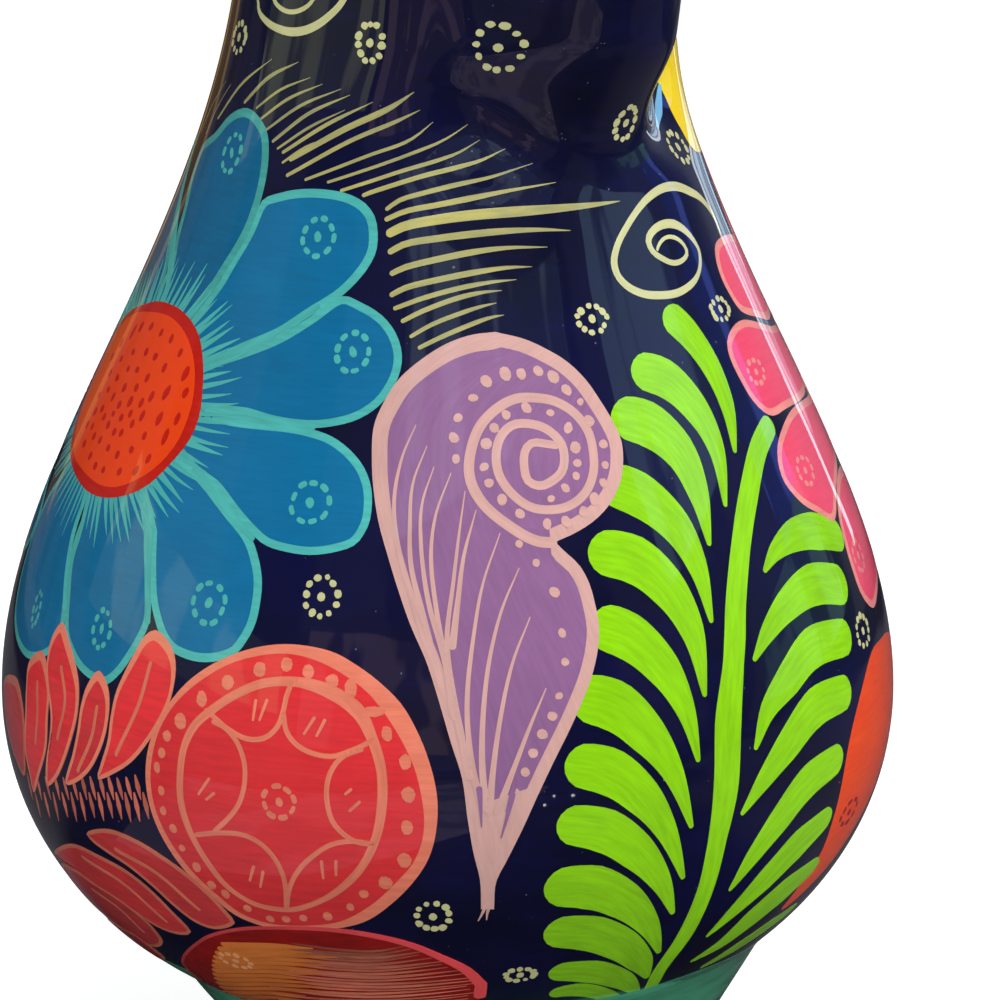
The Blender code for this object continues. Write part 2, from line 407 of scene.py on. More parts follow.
def lengths(line):
    """Length along a line of chart spots at each of its points, in metres."""
    steps = np.diff(line, axis=0)
    steps[:, 0] *= girth((line[1:, 1] + line[:-1, 1]) / 2)
    return np.concatenate([[0.0], np.cumsum(np.hypot(steps[:, 0], steps[:, 1]))])


def flowing(points, closed=False, fineness=10):
    """A smooth curve through chart spots, with several points between each pair."""
    points = np.asarray(points, float)
    if closed:
        chain = np.concatenate([points[-1:], points, points[:2]])
    else:
        first = 2 * points[0] - points[1]
        last = 2 * points[-1] - points[-2]
        chain = np.concatenate([first[None], points, last[None]])
    drawn = []
    for a, b, c, d in zip(chain, chain[1:], chain[2:], chain[3:]):
        knots = [0.0]
        for near, far in ((a, b), (b, c), (c, d)):
            gap = far - near
            knots.append(knots[-1] + max(math.hypot(gap[0] * TYPICAL_RADIUS, gap[1]), 1e-7) ** 0.5)
        k0, k1, k2, k3 = knots
        t = np.linspace(k1, k2, fineness, endpoint=False)[:, None]
        ab = (k1 - t) / (k1 - k0) * a + (t - k0) / (k1 - k0) * b
        bc = (k2 - t) / (k2 - k1) * b + (t - k1) / (k2 - k1) * c
        cd = (k3 - t) / (k3 - k2) * c + (t - k2) / (k3 - k2) * d
        abc = (k2 - t) / (k2 - k0) * ab + (t - k0) / (k2 - k0) * bc
        bcd = (k3 - t) / (k3 - k1) * bc + (t - k1) / (k3 - k1) * cd
        drawn.append((k2 - t) / (k2 - k1) * abc + (t - k1) / (k2 - k1) * bcd)
    if not closed:
        drawn.append(points[-1:])
    return np.concatenate(drawn)


def along(line, shares):
    """Spots at shares of a line's length."""
    run = lengths(line)
    goals = np.asarray(shares) * run[-1]
    return np.stack([np.interp(goals, run, line[:, k]) for k in (0, 1)], -1)


def loop_of(points, count):
    """A closed smooth outline as evenly spread spots."""
    curve = flowing(points, closed=True)
    curve = np.concatenate([curve, curve[:1]])
    return along(curve, np.arange(count) / count)


def beside(line, distance, closed=False):
    """The line moved to its left by distances in metres."""
    if closed:
        ahead, behind = np.roll(line, -1, 0), np.roll(line, 1, 0)
    else:
        ahead = np.concatenate([line[1:], line[-1:]])
        behind = np.concatenate([line[:1], line[:-1]])
    run = ahead - behind
    wide = girth(line[:, 1])
    run[:, 0] *= wide
    run /= np.maximum(np.hypot(run[:, 0], run[:, 1]), 1e-9)[:, None]
    distance = np.broadcast_to(distance, len(line))
    return line + np.stack([-run[:, 1] * distance / wide, run[:, 0] * distance], 1)


def turning(outline):
    """Twice the area in a closed outline, negative where it runs clockwise."""
    ahead = np.roll(outline, -1, 0)
    return np.sum(outline[:, 0] * ahead[:, 1] - ahead[:, 0] * outline[:, 1])


def inside(outline, distance):
    """A closed outline drawn in by a distance, whichever way round it runs."""
    leftwards = turning(outline) > 0
    return beside(outline, distance if leftwards else -distance, closed=True)


def turned_on(points, degrees):
    """The same spots further round the jug."""
    return np.asarray(points) + np.array([math.radians(degrees), 0.0])


def brush_line(pixels, degrees, fineness=10):
    """A smooth line of chart spots through pixels, turned on round the jug."""
    return turned_on(flowing(spots(pixels), fineness=fineness), degrees)


def closed_line(pixels, count, degrees):
    """A closed smooth outline through pixels, turned on round the jug."""
    return turned_on(loop_of(spots(pixels), count), degrees)


# Modelling


def deselect():
    bpy.ops.object.select_all(action="DESELECT")


def choose(obj):
    """Makes an object the active one and the only one selected."""
    deselect()
    bpy.context.view_layer.objects.active = obj
    obj.select_set(True)


def start_editing(obj):
    choose(obj)
    bpy.ops.object.mode_set(mode="EDIT")
    bpy.ops.mesh.select_all(action="SELECT")


def stop_editing():
    bpy.ops.object.mode_set(mode="OBJECT")
    deselect()


def apply_modifier(obj, modifier):
    choose(obj)
    bpy.ops.object.modifier_apply(modifier=modifier.name)


def places_of(obj):
    found = np.empty(len(obj.data.vertices) * 3)
    obj.data.vertices.foreach_get("co", found)
    return found.reshape(-1, 3)


def move_to(obj, found):
    obj.data.vertices.foreach_set("co", np.asarray(found, float).ravel())
    obj.data.update()


def thrown(name, outline, turns, closed=False):
    """An outline of radius and height thrown round the Z axis, as on a wheel."""
    deselect()
    radius, height = outline[0]
    bpy.ops.mesh.primitive_plane_add(size=0.001, location=(radius, 0.0, height))
    obj = bpy.context.object
    obj.name = name
    obj.data.name = name
    start_editing(obj)
    bpy.ops.mesh.merge(type="COLLAPSE")
    for near, far in zip(outline, outline[1:]):
        step = (far[0] - near[0], 0.0, far[1] - near[1])
        bpy.ops.mesh.extrude_region_move(TRANSFORM_OT_translate={"value": step})
    if closed:
        bpy.ops.mesh.select_all(action="SELECT")
        bpy.ops.mesh.remove_doubles(threshold=WELD)
    stop_editing()
    obj.data.transform(obj.matrix_world)
    obj.matrix_world.identity()
    wheel = obj.modifiers.new("wheel", "SCREW")
    wheel.steps = turns
    wheel.render_steps = turns
    wheel.angle = math.tau
    wheel.use_merge_vertices = True
    wheel.merge_threshold = WELD
    apply_modifier(obj, wheel)
    start_editing(obj)
    bpy.ops.mesh.remove_doubles(threshold=WELD)
    bpy.ops.mesh.normals_make_consistent(inside=False)
    stop_editing()
    return obj


def reshape(obj, mapping):
    """Moves each point of a thrown shape by its heading, radius and height."""
    found = places_of(obj)
    radius = np.hypot(found[:, 0], found[:, 1])
    heading = np.arctan2(found[:, 1], found[:, 0])
    move_to(obj, mapping(heading, radius, found[:, 2]))


def pull_shape(heading, radius, height):
    """The lip and the dents for a thrown shape, whose middle stays on the axis."""
    new_radius, new_height = pulled(heading, radius, height)
    return around(heading, np.where(radius > 0.01, new_radius, radius), new_height)


def finish_piece(obj, material, replaced=()):
    """Smooths a finished piece, gives it its material and sets it on the jug's one body."""
    obj.data.materials.clear()
    obj.data.materials.append(material)
    choose(obj)
    bpy.ops.object.shade_smooth_by_angle(angle=SMOOTH_ANGLE)
    obj.select_set(False)
    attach(obj, "root")
    if replaced:
        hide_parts(*replaced)


# Dabs of paint: blanks are modelled once, and every dab is a copy laid on the skin


class Blank:
    """A flat slab one unit deep: its points, which of them are underneath, and its faces."""

    def __init__(self, obj):
        found = places_of(obj)
        self.plan = found[:, :2]
        self.under = found[:, 2] < -0.5
        self.faces = [tuple(face.vertices) for face in obj.data.polygons]
        self.top = [not any(self.under[v] for v in face) for face in self.faces]
        mesh = obj.data
        bpy.data.objects.remove(obj)
        bpy.data.meshes.remove(mesh)

    def round_places(self, count):
        """Distances of a disc's or ring's points from its middle, and their places along the rim."""
        x, y = self.plan.T
        index = np.rint(np.arctan2(y, x) / math.tau * count).astype(int) % count
        return np.hypot(x, y), index


BLANKS = {}
SLAB = {"value": (0.0, 0.0, -1.0)}


def thicken(obj):
    """Makes a flat sheet a closed slab that reaches down."""
    start_editing(obj)
    bpy.ops.mesh.extrude_region_move(TRANSFORM_OT_translate=SLAB)
    bpy.ops.mesh.select_all(action="SELECT")
    bpy.ops.mesh.normals_make_consistent(inside=False)
    stop_editing()


def strip_blank(long, wide):
    """A strip from 0 to 1 along X and from -1 to 1 across."""
    key = ("strip", long, wide)
    if key not in BLANKS:
        deselect()
        bpy.ops.mesh.primitive_grid_add(x_subdivisions=long, y_subdivisions=wide, size=2)
        obj = bpy.context.object
        thicken(obj)
        found = places_of(obj)
        found[:, 0] = (found[:, 0] + 1) / 2
        move_to(obj, found)
        BLANKS[key] = Blank(obj)
    return BLANKS[key]


def disc_blank(sides, rings):
    """A round disc of radius 1 with rings of faces round its middle."""
    key = ("disc", sides, rings)
    if key not in BLANKS:
        deselect()
        bpy.ops.mesh.primitive_circle_add(vertices=sides, radius=1, fill_type="NOTHING")
        obj = bpy.context.object
        start_editing(obj)
        for k in range(rings, 1, -1):
            bpy.ops.mesh.extrude_region_move()
            bpy.ops.transform.resize(value=((k - 1) / k,) * 3)
        bpy.ops.mesh.extrude_region_move()
        bpy.ops.mesh.merge(type="COLLAPSE")
        stop_editing()
        thicken(obj)
        BLANKS[key] = Blank(obj)
    return BLANKS[key]


def ring_blank(sides, rings):
    """A flat ring whose radius goes from 1 inside to 2 outside."""
    key = ("ring", sides, rings)
    if key not in BLANKS:
        deselect()
        bpy.ops.mesh.primitive_circle_add(vertices=sides, radius=2, fill_type="NOTHING")
        obj = bpy.context.object
        start_editing(obj)
        for k in range(rings):
            bpy.ops.mesh.extrude_region_move()
            share = (2 - (k + 1) / rings) / (2 - k / rings)
            bpy.ops.transform.resize(value=(share,) * 3)
        stop_editing()
        thicken(obj)
        BLANKS[key] = Blank(obj)
    return BLANKS[key]


CAP_STEPS = np.array([0.10, 0.30, 0.55, 0.80])
CAP_SHARE = 0.4
THIN_END = 0.05
LEAST_WIDTH = 0.00012
PATCH_STEPS = 1.6
MOST_RINGS = 14


class Coat:
    """One colour of paint in one motif: many dabs that become one piece.

    A level counts coats of paint over the skin, and a tint of 0 is the deep shade and 1 the light one. In
    some motifs the tint also carries painted light and painted shade.
    """

    def __init__(self, name, seed):
        self.name = name
        self.chance = np.random.default_rng(seed)
        self.points, self.squares, self.uv, self.tints = [], [], [], []
        self.faces, self.tops = [], []
        self.count = 0

    def lay(self, blank, chart, flow, level, tint):
        """Lays a copy of a blank on the skin at chart spots, with its brush direction and tint."""
        square = outwards(chart)
        lift = np.where(blank.under, -sizes().sunk, level * sizes().coat)
        self.points.append(on_skin(chart) + square * lift[:, None])
        self.squares.append(square)
        self.uv.append(flow + self.chance.uniform(0, 3, 2))
        self.tints.append(np.broadcast_to(np.asarray(tint, float), len(chart)))
        self.faces.extend(tuple(v + self.count for v in face) for face in blank.faces)
        self.tops.extend(blank.top)
        self.count += len(chart)

    def stroke(self, line, widths, level=1, tint=0.5, capped=(True, True), across=3, step=None):
        """One pull of the brush along chart spots: widths in metres at its points, with rounded ends."""
        line = np.asarray(line, float)
        widths = np.broadcast_to(np.asarray(widths, float), len(line))
        long = lengths(line)[-1]
        step = step or sizes().dab_step
        stations = np.linspace(0.0, long, max(3, int(long / step) + 2))
        wide = np.interp(stations, lengths(line), widths)
        if capped[0] and widths[0] > 0:
            reach = min(widths[0] / 2, long * CAP_SHARE)
            caps = reach * (1 - np.cos(CAP_STEPS * math.pi / 2))
            stations = np.concatenate([[0.0], caps, stations[stations > reach]])
            wide = np.interp(stations, lengths(line), widths)
        if capped[1] and widths[-1] > 0:
            reach = min(widths[-1] / 2, long * CAP_SHARE)
            caps = long - reach * (1 - np.cos(CAP_STEPS[::-1] * math.pi / 2))
            stations = np.concatenate([stations[stations < long - reach], caps, [long]])
            wide = np.interp(stations, lengths(line), widths)
        for near_end, capped_here, half in (
            (stations, capped[0], widths[0] / 2),
            (long - stations, capped[1], widths[-1] / 2),
        ):
            if capped_here and half > 0:
                half = min(half, long * CAP_SHARE)
                share = np.clip(1 - near_end / half, 0, 1)
                wide = wide * np.sqrt(np.maximum(1 - share**2, THIN_END**2))
        wide = np.maximum(wide, LEAST_WIDTH)
        spine = along(line, stations / long)
        blank = strip_blank(len(stations) - 1, across - 1)
        column = np.rint(blank.plan[:, 0] * (len(stations) - 1)).astype(int)
        edge = blank.plan[:, 1]
        left = beside(spine, wide / 2) - spine
        chart = spine[column] + left[column] * edge[:, None]
        flow = np.stack([stations[column], wide[column] / 2 * edge], 1)
        shade = np.interp(stations, [0.0, long], [tint, tint] if np.isscalar(tint) else tint)
        self.lay(blank, chart, flow, level, shade[column])

    def band(self, left, right, level=1, tint=0.5, across=6, step=None):
        """A shape between two edges that run the same way."""
        long = max(lengths(left)[-1], lengths(right)[-1])
        count = max(3, int(long / (step or sizes().dab_step)))
        shares = np.linspace(0.0, 1.0, count + 1)
        left, right = along(left, shares), along(right, shares)
        run = (left + right)[-1] - (left + right)[0]
        side = (left - right).mean(0)
        if run[0] * side[1] - run[1] * side[0] < 0:
            left, right = right, left
        blank = strip_blank(count, across)
        column = np.rint(blank.plan[:, 0] * count).astype(int)
        edge = (blank.plan[:, 1, None] + 1) / 2
        chart = right[column] + (left[column] - right[column]) * edge
        wide = np.linalg.norm((left - right) * [TYPICAL_RADIUS, 1.0], axis=1)
        flow = np.stack([shares[column] * long, wide[column] * edge[:, 0]], 1)
        self.lay(blank, chart, flow, level, tint)

    def patch(self, outline, level=1, tint=0.5, middle=None, step=None):
        """A filled closed outline, which has to be seen whole from its middle."""
        outline = np.asarray(outline, float)
        middle = outline.mean(0) if middle is None else np.asarray(middle, float)
        wide = girth(middle[1])
        reach = np.hypot((outline[:, 0] - middle[0]) * wide, outline[:, 1] - middle[1])
        step = step or PATCH_STEPS * sizes().dab_step
        rings = int(np.clip(math.ceil(reach.max() / step), 1, MOST_RINGS))
        blank = disc_blank(len(outline), rings)
        far, index = blank.round_places(len(outline))
        if turning(outline) < 0:
            outline = outline[::-1]
        chart = middle + (outline[index] - middle) * far[:, None]
        flat = (chart - middle) * [wide, 1.0]
        self.lay(blank, chart, flat, level, tint if np.isscalar(tint) else tint(flat))

    def loop(self, outer, inner, level, tints):
        """A closed line of paint between two outlines that have as many points as there are tints."""
        if turning(outer) < 0:
            outer, inner = outer[::-1], inner[::-1]
        blank = ring_blank(len(outer), 2)
        far, index = blank.round_places(len(outer))
        far -= 1
        chart = inner[index] + (outer[index] - inner[index]) * far[:, None]
        run = lengths(np.concatenate([outer, outer[:1]]))[:-1]
        flow = np.stack([run[index], far * 0.002], 1)
        self.lay(blank, chart, flow, level, tints[index])

    def dot(self, where, wide, tall, level=1, tint=0.5, turn=0.0, sides=9):
        """A small round or oval touch of the brush, in metres."""
        ways = np.arange(sides) / sides * math.tau
        uneven = 1 + self.chance.uniform(-0.09, 0.09, sides)
        x, y = np.cos(ways) * wide / 2 * uneven, np.sin(ways) * tall / 2 * uneven
        c, s = math.cos(turn), math.sin(turn)
        radius = girth(where[1])
        outline = np.stack([where[0] + (c * x - s * y) / radius, where[1] + s * x + c * y], 1)
        self.patch(outline, level, tint, middle=where)

    def finish(self, material):
        """Makes all the dabs one closed mesh whose tops are shaded like the skin under them."""
        mesh = bpy.data.meshes.new(self.name)
        mesh.from_pydata(np.concatenate(self.points).tolist(), [], self.faces)
        mesh.shade_smooth()
        squares, uv = np.concatenate(self.squares), np.concatenate(self.uv)
        corners = np.empty(len(mesh.loops), int)
        mesh.loops.foreach_get("vertex_index", corners)
        totals = np.empty(len(mesh.polygons), int)
        mesh.polygons.foreach_get("loop_total", totals)
        flat = np.empty(len(mesh.polygons) * 3)
        mesh.polygons.foreach_get("normal", flat)
        face_of = np.repeat(np.arange(len(totals)), totals)
        on_top = np.array(self.tops)[face_of]
        normals = np.where(on_top[:, None], squares[corners], flat.reshape(-1, 3)[face_of])
        mesh.normals_split_custom_set(normals.tolist())
        layer = mesh.uv_layers.new(name="brush")
        layer.data.foreach_set("uv", uv[corners].ravel())
        tint = mesh.attributes.new("tint", "FLOAT", "POINT")
        tint.data.foreach_set("value", np.concatenate(self.tints))
        obj = bpy.data.objects.new(self.name, mesh)
        bpy.context.scene.collection.objects.link(obj)
        mesh.materials.append(material)
        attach(obj, "root")


# Finishes


def new_material(name):
    material = bpy.data.materials.new(name)
    material.use_nodes = True
    tree = material.node_tree
    return material, tree, tree.nodes["Principled BSDF"]


def add(tree, kind, **settings):
    node = tree.nodes.new(kind)
    for key, value in settings.items():
        if key in node.inputs:
            node.inputs[key].default_value = value
        else:
            setattr(node, key, value)
    return node


def noise(tree, vector, scale, detail=3.0, roughness=0.55, stretch=(1.0, 1.0, 1.0)):
    """Cloudy noise over a space stretched by three numbers."""
    mapping = add(tree, "ShaderNodeMapping")
    mapping.inputs["Scale"].default_value = stretch
    tree.links.new(vector, mapping.inputs["Vector"])
    found = add(tree, "ShaderNodeTexNoise", Scale=scale, Detail=detail, Roughness=roughness)
    tree.links.new(mapping.outputs["Vector"], found.inputs["Vector"])
    return found.outputs["Fac"]


def spread(tree, value, low, high, to_low=0.0, to_high=1.0):
    """A value whose range from low to high is drawn out to another range."""
    node = add(tree, "ShaderNodeMapRange")
    node.clamp = True
    for key, number in zip(("From Min", "From Max", "To Min", "To Max"), (low, high, to_low, to_high)):
        node.inputs[key].default_value = number
    tree.links.new(value, node.inputs["Value"])
    return node.outputs["Result"]


def blend_colours(tree, factor, first, second):
    """Mixes two colours, each a colour or the output of another node."""
    node = tree.nodes.new("ShaderNodeMix")
    node.data_type = "RGBA"
    tree.links.new(factor, node.inputs[0])
    for socket, value in ((node.inputs[6], first), (node.inputs[7], second)):
        if isinstance(value, bpy.types.NodeSocket):
            tree.links.new(value, socket)
        else:
            socket.default_value = (*tuple(value)[:3], 1.0)
    return node.outputs[2]


def bump(tree, height, strength, distance, under=None):
    node = add(tree, "ShaderNodeBump", Strength=strength, Distance=distance)
    tree.links.new(height, node.inputs["Height"])
    if under is not None:
        tree.links.new(under, node.inputs["Normal"])
    return node.outputs["Normal"]


PAINT_ROUGHNESS = 0.42
PAINT_SPECULAR = 0.25
VARNISH_ROUGHNESS = 0.03
VARNISH_IOR = 1.48


def varnish(tree, shader):
    """A thick gloss varnish over paint, with the slight waves that a brushed varnish dries to."""
    shader.inputs["Roughness"].default_value = PAINT_ROUGHNESS
    shader.inputs["Specular IOR Level"].default_value = PAINT_SPECULAR
    shader.inputs["Coat Weight"].default_value = 1.0
    shader.inputs["Coat Roughness"].default_value = VARNISH_ROUGHNESS
    shader.inputs["Coat IOR"].default_value = VARNISH_IOR
    where = add(tree, "ShaderNodeTexCoord").outputs["Object"]
    waves = noise(tree, where, 55.0, detail=1.0, stretch=(1.0, 1.0, 0.6))
    wavy = bump(tree, waves, 0.10, 0.002)
    tree.links.new(wavy, shader.inputs["Coat Normal"])
    return where, wavy


def paint(name, light, deep, streak=0.5):
    """Brushed paint: two shades of one colour, streaked along the brush, under the varnish."""
    material, tree, shader = new_material(name)
    _, wavy = varnish(tree, shader)
    brush = add(tree, "ShaderNodeUVMap", uv_map="brush").outputs["UV"]
    streaks = noise(tree, brush, 900.0, detail=3.0, roughness=0.6, stretch=(0.12, 1.0, 1.0))
    cloud = noise(tree, brush, 120.0, detail=2.0, stretch=(0.6, 1.0, 1.0))
    # The tint attribute picks between the two shades: a dab's own tone, and in some motifs its painted
    # light and painted shade
    tint = add(tree, "ShaderNodeAttribute", attribute_name="tint").outputs["Fac"]
    gather = add(tree, "ShaderNodeMath", operation="MULTIPLY_ADD")
    tree.links.new(spread(tree, streaks, 0.3, 0.7, -0.5, 0.5), gather.inputs[0])
    gather.inputs[1].default_value = streak
    tree.links.new(tint, gather.inputs[2])
    more = add(tree, "ShaderNodeMath", operation="MULTIPLY_ADD")
    more.use_clamp = True
    tree.links.new(spread(tree, cloud, 0.3, 0.7, -0.5, 0.5), more.inputs[0])
    more.inputs[1].default_value = streak * 0.6
    tree.links.new(gather.outputs[0], more.inputs[2])
    shown = blend_colours(tree, more.outputs[0], deep, light)
    tree.links.new(shown, shader.inputs["Base Color"])
    brushed = bump(tree, streaks, 0.25, 0.0002, wavy)
    tree.links.new(brushed, shader.inputs["Normal"])
    return material


def tinted(base, share):
    """A shade of a colour: above 1 lighter, under 1 deeper."""
    return tuple(min(value * share, 1.0) for value in tuple(base)[:3])


def shades(base, first, second):
    """Two shades of one colour."""
    return tinted(base, first), tinted(base, second)


def ground_paint():
    """Navy ground: brushed round the jug in cloudy patches of blacker and bluer paint."""
    material, tree, shader = new_material("brushed navy ground")
    where, wavy = varnish(tree, shader)
    patches = noise(tree, where, 22.0, detail=4.0, stretch=(1.0, 1.0, 1.6))
    strokes = noise(tree, where, 160.0, detail=3.0, stretch=(0.5, 0.5, 2.4))
    navy = paints().navy
    deep = blend_colours(
        tree, spread(tree, patches, 0.35, 0.68), (navy[0] * 0.9, navy[1] * 0.9, navy[2] * 0.45), navy
    )
    worn = blend_colours(tree, spread(tree, strokes, 0.55, 0.8, 0.0, 0.35), deep, tinted(navy, 1.7))
    grains = noise(tree, where, 900.0, detail=1.0)
    dusty = blend_colours(tree, spread(tree, grains, 0.79, 0.82, 0.0, 0.5), worn, (0.25, 0.27, 0.4))
    tree.links.new(dusty, shader.inputs["Base Color"])
    brushed = bump(tree, strokes, 0.2, 0.0003, wavy)
    tree.links.new(brushed, shader.inputs["Normal"])
    return material


def teal_paint():
    """Teal of the foot and handle, brushed thin over the clay, darker where it pooled."""
    material, tree, shader = new_material("brushed teal")
    where, wavy = varnish(tree, shader)
    strokes = noise(tree, where, 130.0, detail=4.0, stretch=(0.35, 0.35, 2.2))
    pools = noise(tree, where, 28.0, detail=2.0)
    teal = paints().teal
    shown = blend_colours(tree, spread(tree, strokes, 0.3, 0.75), *shades(teal, 0.62, 1.15))
    shown = blend_colours(tree, spread(tree, pools, 0.45, 0.75, 0.0, 0.5), shown, tinted(teal, 0.8))
    tree.links.new(shown, shader.inputs["Base Color"])
    tree.links.new(bump(tree, strokes, 0.3, 0.0003, wavy), shader.inputs["Normal"])
    return material


def bare_clay():
    """Fired terracotta: sandy, speckled and matt, paler where lime and dust sit in its pores."""
    material, tree, shader = new_material("bare terracotta")
    where = add(tree, "ShaderNodeTexCoord").outputs["Object"]
    clay = paints().clay
    cloud = noise(tree, where, 30.0, detail=5.0)
    shown = blend_colours(tree, spread(tree, cloud, 0.3, 0.7), *shades(clay, 0.72, 1.15))
    specks = noise(tree, where, 620.0, detail=2.0)
    shown = blend_colours(tree, spread(tree, specks, 0.62, 0.72, 0.0, 0.6), shown, tinted(clay, 0.4))
    lime_bits = noise(tree, where, 380.0, detail=1.0, stretch=(1.3, 1.1, 0.9))
    shown = blend_colours(tree, spread(tree, lime_bits, 0.74, 0.78, 0.0, 0.7), shown, (0.62, 0.5, 0.38))
    tree.links.new(shown, shader.inputs["Base Color"])
    shader.inputs["Roughness"].default_value = 0.88
    shader.inputs["Specular IOR Level"].default_value = 0.3
    grit = noise(tree, where, 900.0, detail=4.0, roughness=0.7)
    turned_lines = noise(tree, where, 260.0, detail=2.0, stretch=(0.05, 0.05, 1.0))
    under = bump(tree, turned_lines, 0.4, 0.0005)
    tree.links.new(bump(tree, grit, 0.6, 0.0004, under), shader.inputs["Normal"])
    return material


# The clay pieces

RIM_SIDES = 12
INSIDE_PAINT = 0.008
INSIDE_STEP = 0.0015
LINING_STEP = 0.0021
LINING_TURNS = 192
LINING_SUNK = 0.0001
CORE_STEP = 0.006
FOOT_TURNS = 240
CONE_STEP = 0.0012
FLARE_STEP = 0.0008
BEAD_STEP = 0.0005
# The slip: its rise as a share of its reach, its run into the cone, and what lies hidden in the belly
SLIP_RISE = 0.9
SLIP_BLEND = 0.0008
SLIP_SUNK = 0.0016
BORE_SUNK = 0.0012
SEAT_MARGIN = 0.0002


def wall_core(depth, top):
    """The line in the middle of the wall, from near the rim down to the axis."""
    line = moved_in(OUTLINE, depth)
    line = line[line[:, 1] < top]
    line = even(line[line[:, 1] > FOOT_RISE + depth * 0.98], CORE_STEP)[::-1]
    return np.concatenate([line, [[0.0, line[-1][1]]]])


def rim_round(outer_end, inner_end):
    """Half a round over the two edges of the mouth."""
    middle = (outer_end + inner_end) / 2
    across = outer_end - middle
    up = np.array([-across[1], across[0]])
    ways = np.linspace(0, math.pi, RIM_SIDES + 1)[1:-1, None]
    return middle + across * np.cos(ways) + up * np.sin(ways)


def make_painted_body(material):
    """Outer wall of belly and neck, painted down into the mouth, with a core that closes it inside."""
    outer = even(OUTLINE, SKIN_STEP)
    inner = moved_in(OUTLINE, WALL)
    inner_top = even(inner[inner[:, 1] > inner[-1, 1] - INSIDE_PAINT], INSIDE_STEP)[::-1]
    core = wall_core(WALL / 2, inner_top[-1][1] - 0.001)
    line = np.concatenate(
        [[[0.0, FOOT_RISE]], outer, rim_round(outer[-1], inner_top[0]), inner_top, core]
    )
    body = thrown("painted_body", line, BODY_TURNS)
    reshape(body, pull_shape)
    finish_piece(body, material, ("belly", "neck"))


def make_lining(material):
    """Bare inside wall and floor, with the potter's finger rings."""
    inner = moved_in(OUTLINE, WALL)
    inner = inner[inner[:, 1] < inner[-1, 1] - INSIDE_PAINT + 0.0012]
    inner = even(inner[inner[:, 1] > FOOT_RISE + WALL * 0.98], LINING_STEP)
    deep = moved_in(inner, LINING_SUNK)
    rings = sizes().ring_height * np.sin(deep[:, 1] / sizes().ring_pitch * math.tau)
    deep[:, 0] += rings * np.clip(deep[:, 0] / 0.06, 0, 1)
    floor = FOOT_RISE + FLOOR
    deep[:, 1] = np.maximum(deep[:, 1], floor)
    core = wall_core(WALL / 2 + 0.0003, deep[-1, 1] - 0.0005)
    line = np.concatenate([[[0.0, floor]], deep, core])
    lining = thrown("clay_lining", line, LINING_TURNS)
    reshape(lining, pull_shape)
    finish_piece(lining, material)


def foot_axis():
    """Offset of the foot's own axis from the belly's."""
    return (
        FOOT_SHIFT * math.cos(FOOT_SHIFT_HEADING),
        FOOT_SHIFT * math.sin(FOOT_SHIFT_HEADING),
    )


def foot_outline(seat_height):
    """Closed outline of the foot: the fillet of slip, cone, waist, bead and bore."""
    slope = (SEAT_RADIUS - WAIST_RADIUS) / (seat_height - WAIST_RISE)
    run = (seat_height - WAIST_RISE) / 2
    cone = bezier(
        (SEAT_RADIUS, seat_height),
        (SEAT_RADIUS - slope * run, seat_height - run),
        (WAIST_RADIUS, WAIST_RISE + run / 2),
        (WAIST_RADIUS, WAIST_RISE),
    )
    bead_run = (WAIST_RISE - BEAD_RISE) / 2
    flare = bezier(
        (WAIST_RADIUS, WAIST_RISE),
        (WAIST_RADIUS, WAIST_RISE - bead_run),
        (BEAD_RADIUS, BEAD_RISE + bead_run),
        (BEAD_RADIUS, BEAD_RISE),
    )
    bead = bezier(
        (BEAD_RADIUS, BEAD_RISE),
        (BEAD_RADIUS, BEAD_RISE / 2),
        (BEAD_RADIUS - BEAD_RISE / 2, 0.0),
        (BEAD_RADIUS - BEAD_RISE, 0.0),
    )
    bore_radius = WAIST_RADIUS - FOOT_WALL
    reach = sizes().slip_reach
    cone = even(cone, CONE_STEP)
    kept = cone[cone[:, 1] < seat_height - reach]
    fillet = bezier(
        (SEAT_RADIUS + reach, seat_height + reach * SLIP_RISE),
        (SEAT_RADIUS + reach * 0.35, seat_height + reach * 0.25),
        kept[0] + (SLIP_BLEND * slope, SLIP_BLEND),
        kept[0],
        count=9,
    )
    sunk = np.array([[SEAT_RADIUS + reach * 0.6, seat_height + reach * SLIP_RISE + SLIP_SUNK]])
    inner = bezier(
        (SEAT_RADIUS - FOOT_WALL * 0.9, seat_height),
        (bore_radius + 0.003, seat_height - 0.004),
        (bore_radius, WAIST_RISE + 0.008),
        (bore_radius, WAIST_RISE),
        count=14,
    )
    lip = bezier(
        (bore_radius + 0.0022, 0.0),
        (bore_radius + 0.0008, 0.0),
        (bore_radius, 0.0008),
        (bore_radius, 0.0022),
        count=5,
    )
    flare, bead = even(flare, FLARE_STEP), even(bead, BEAD_STEP)
    return np.concatenate([sunk, fillet, kept[1:], flare[1:], bead[1:], lip, inner[::-1], sunk])


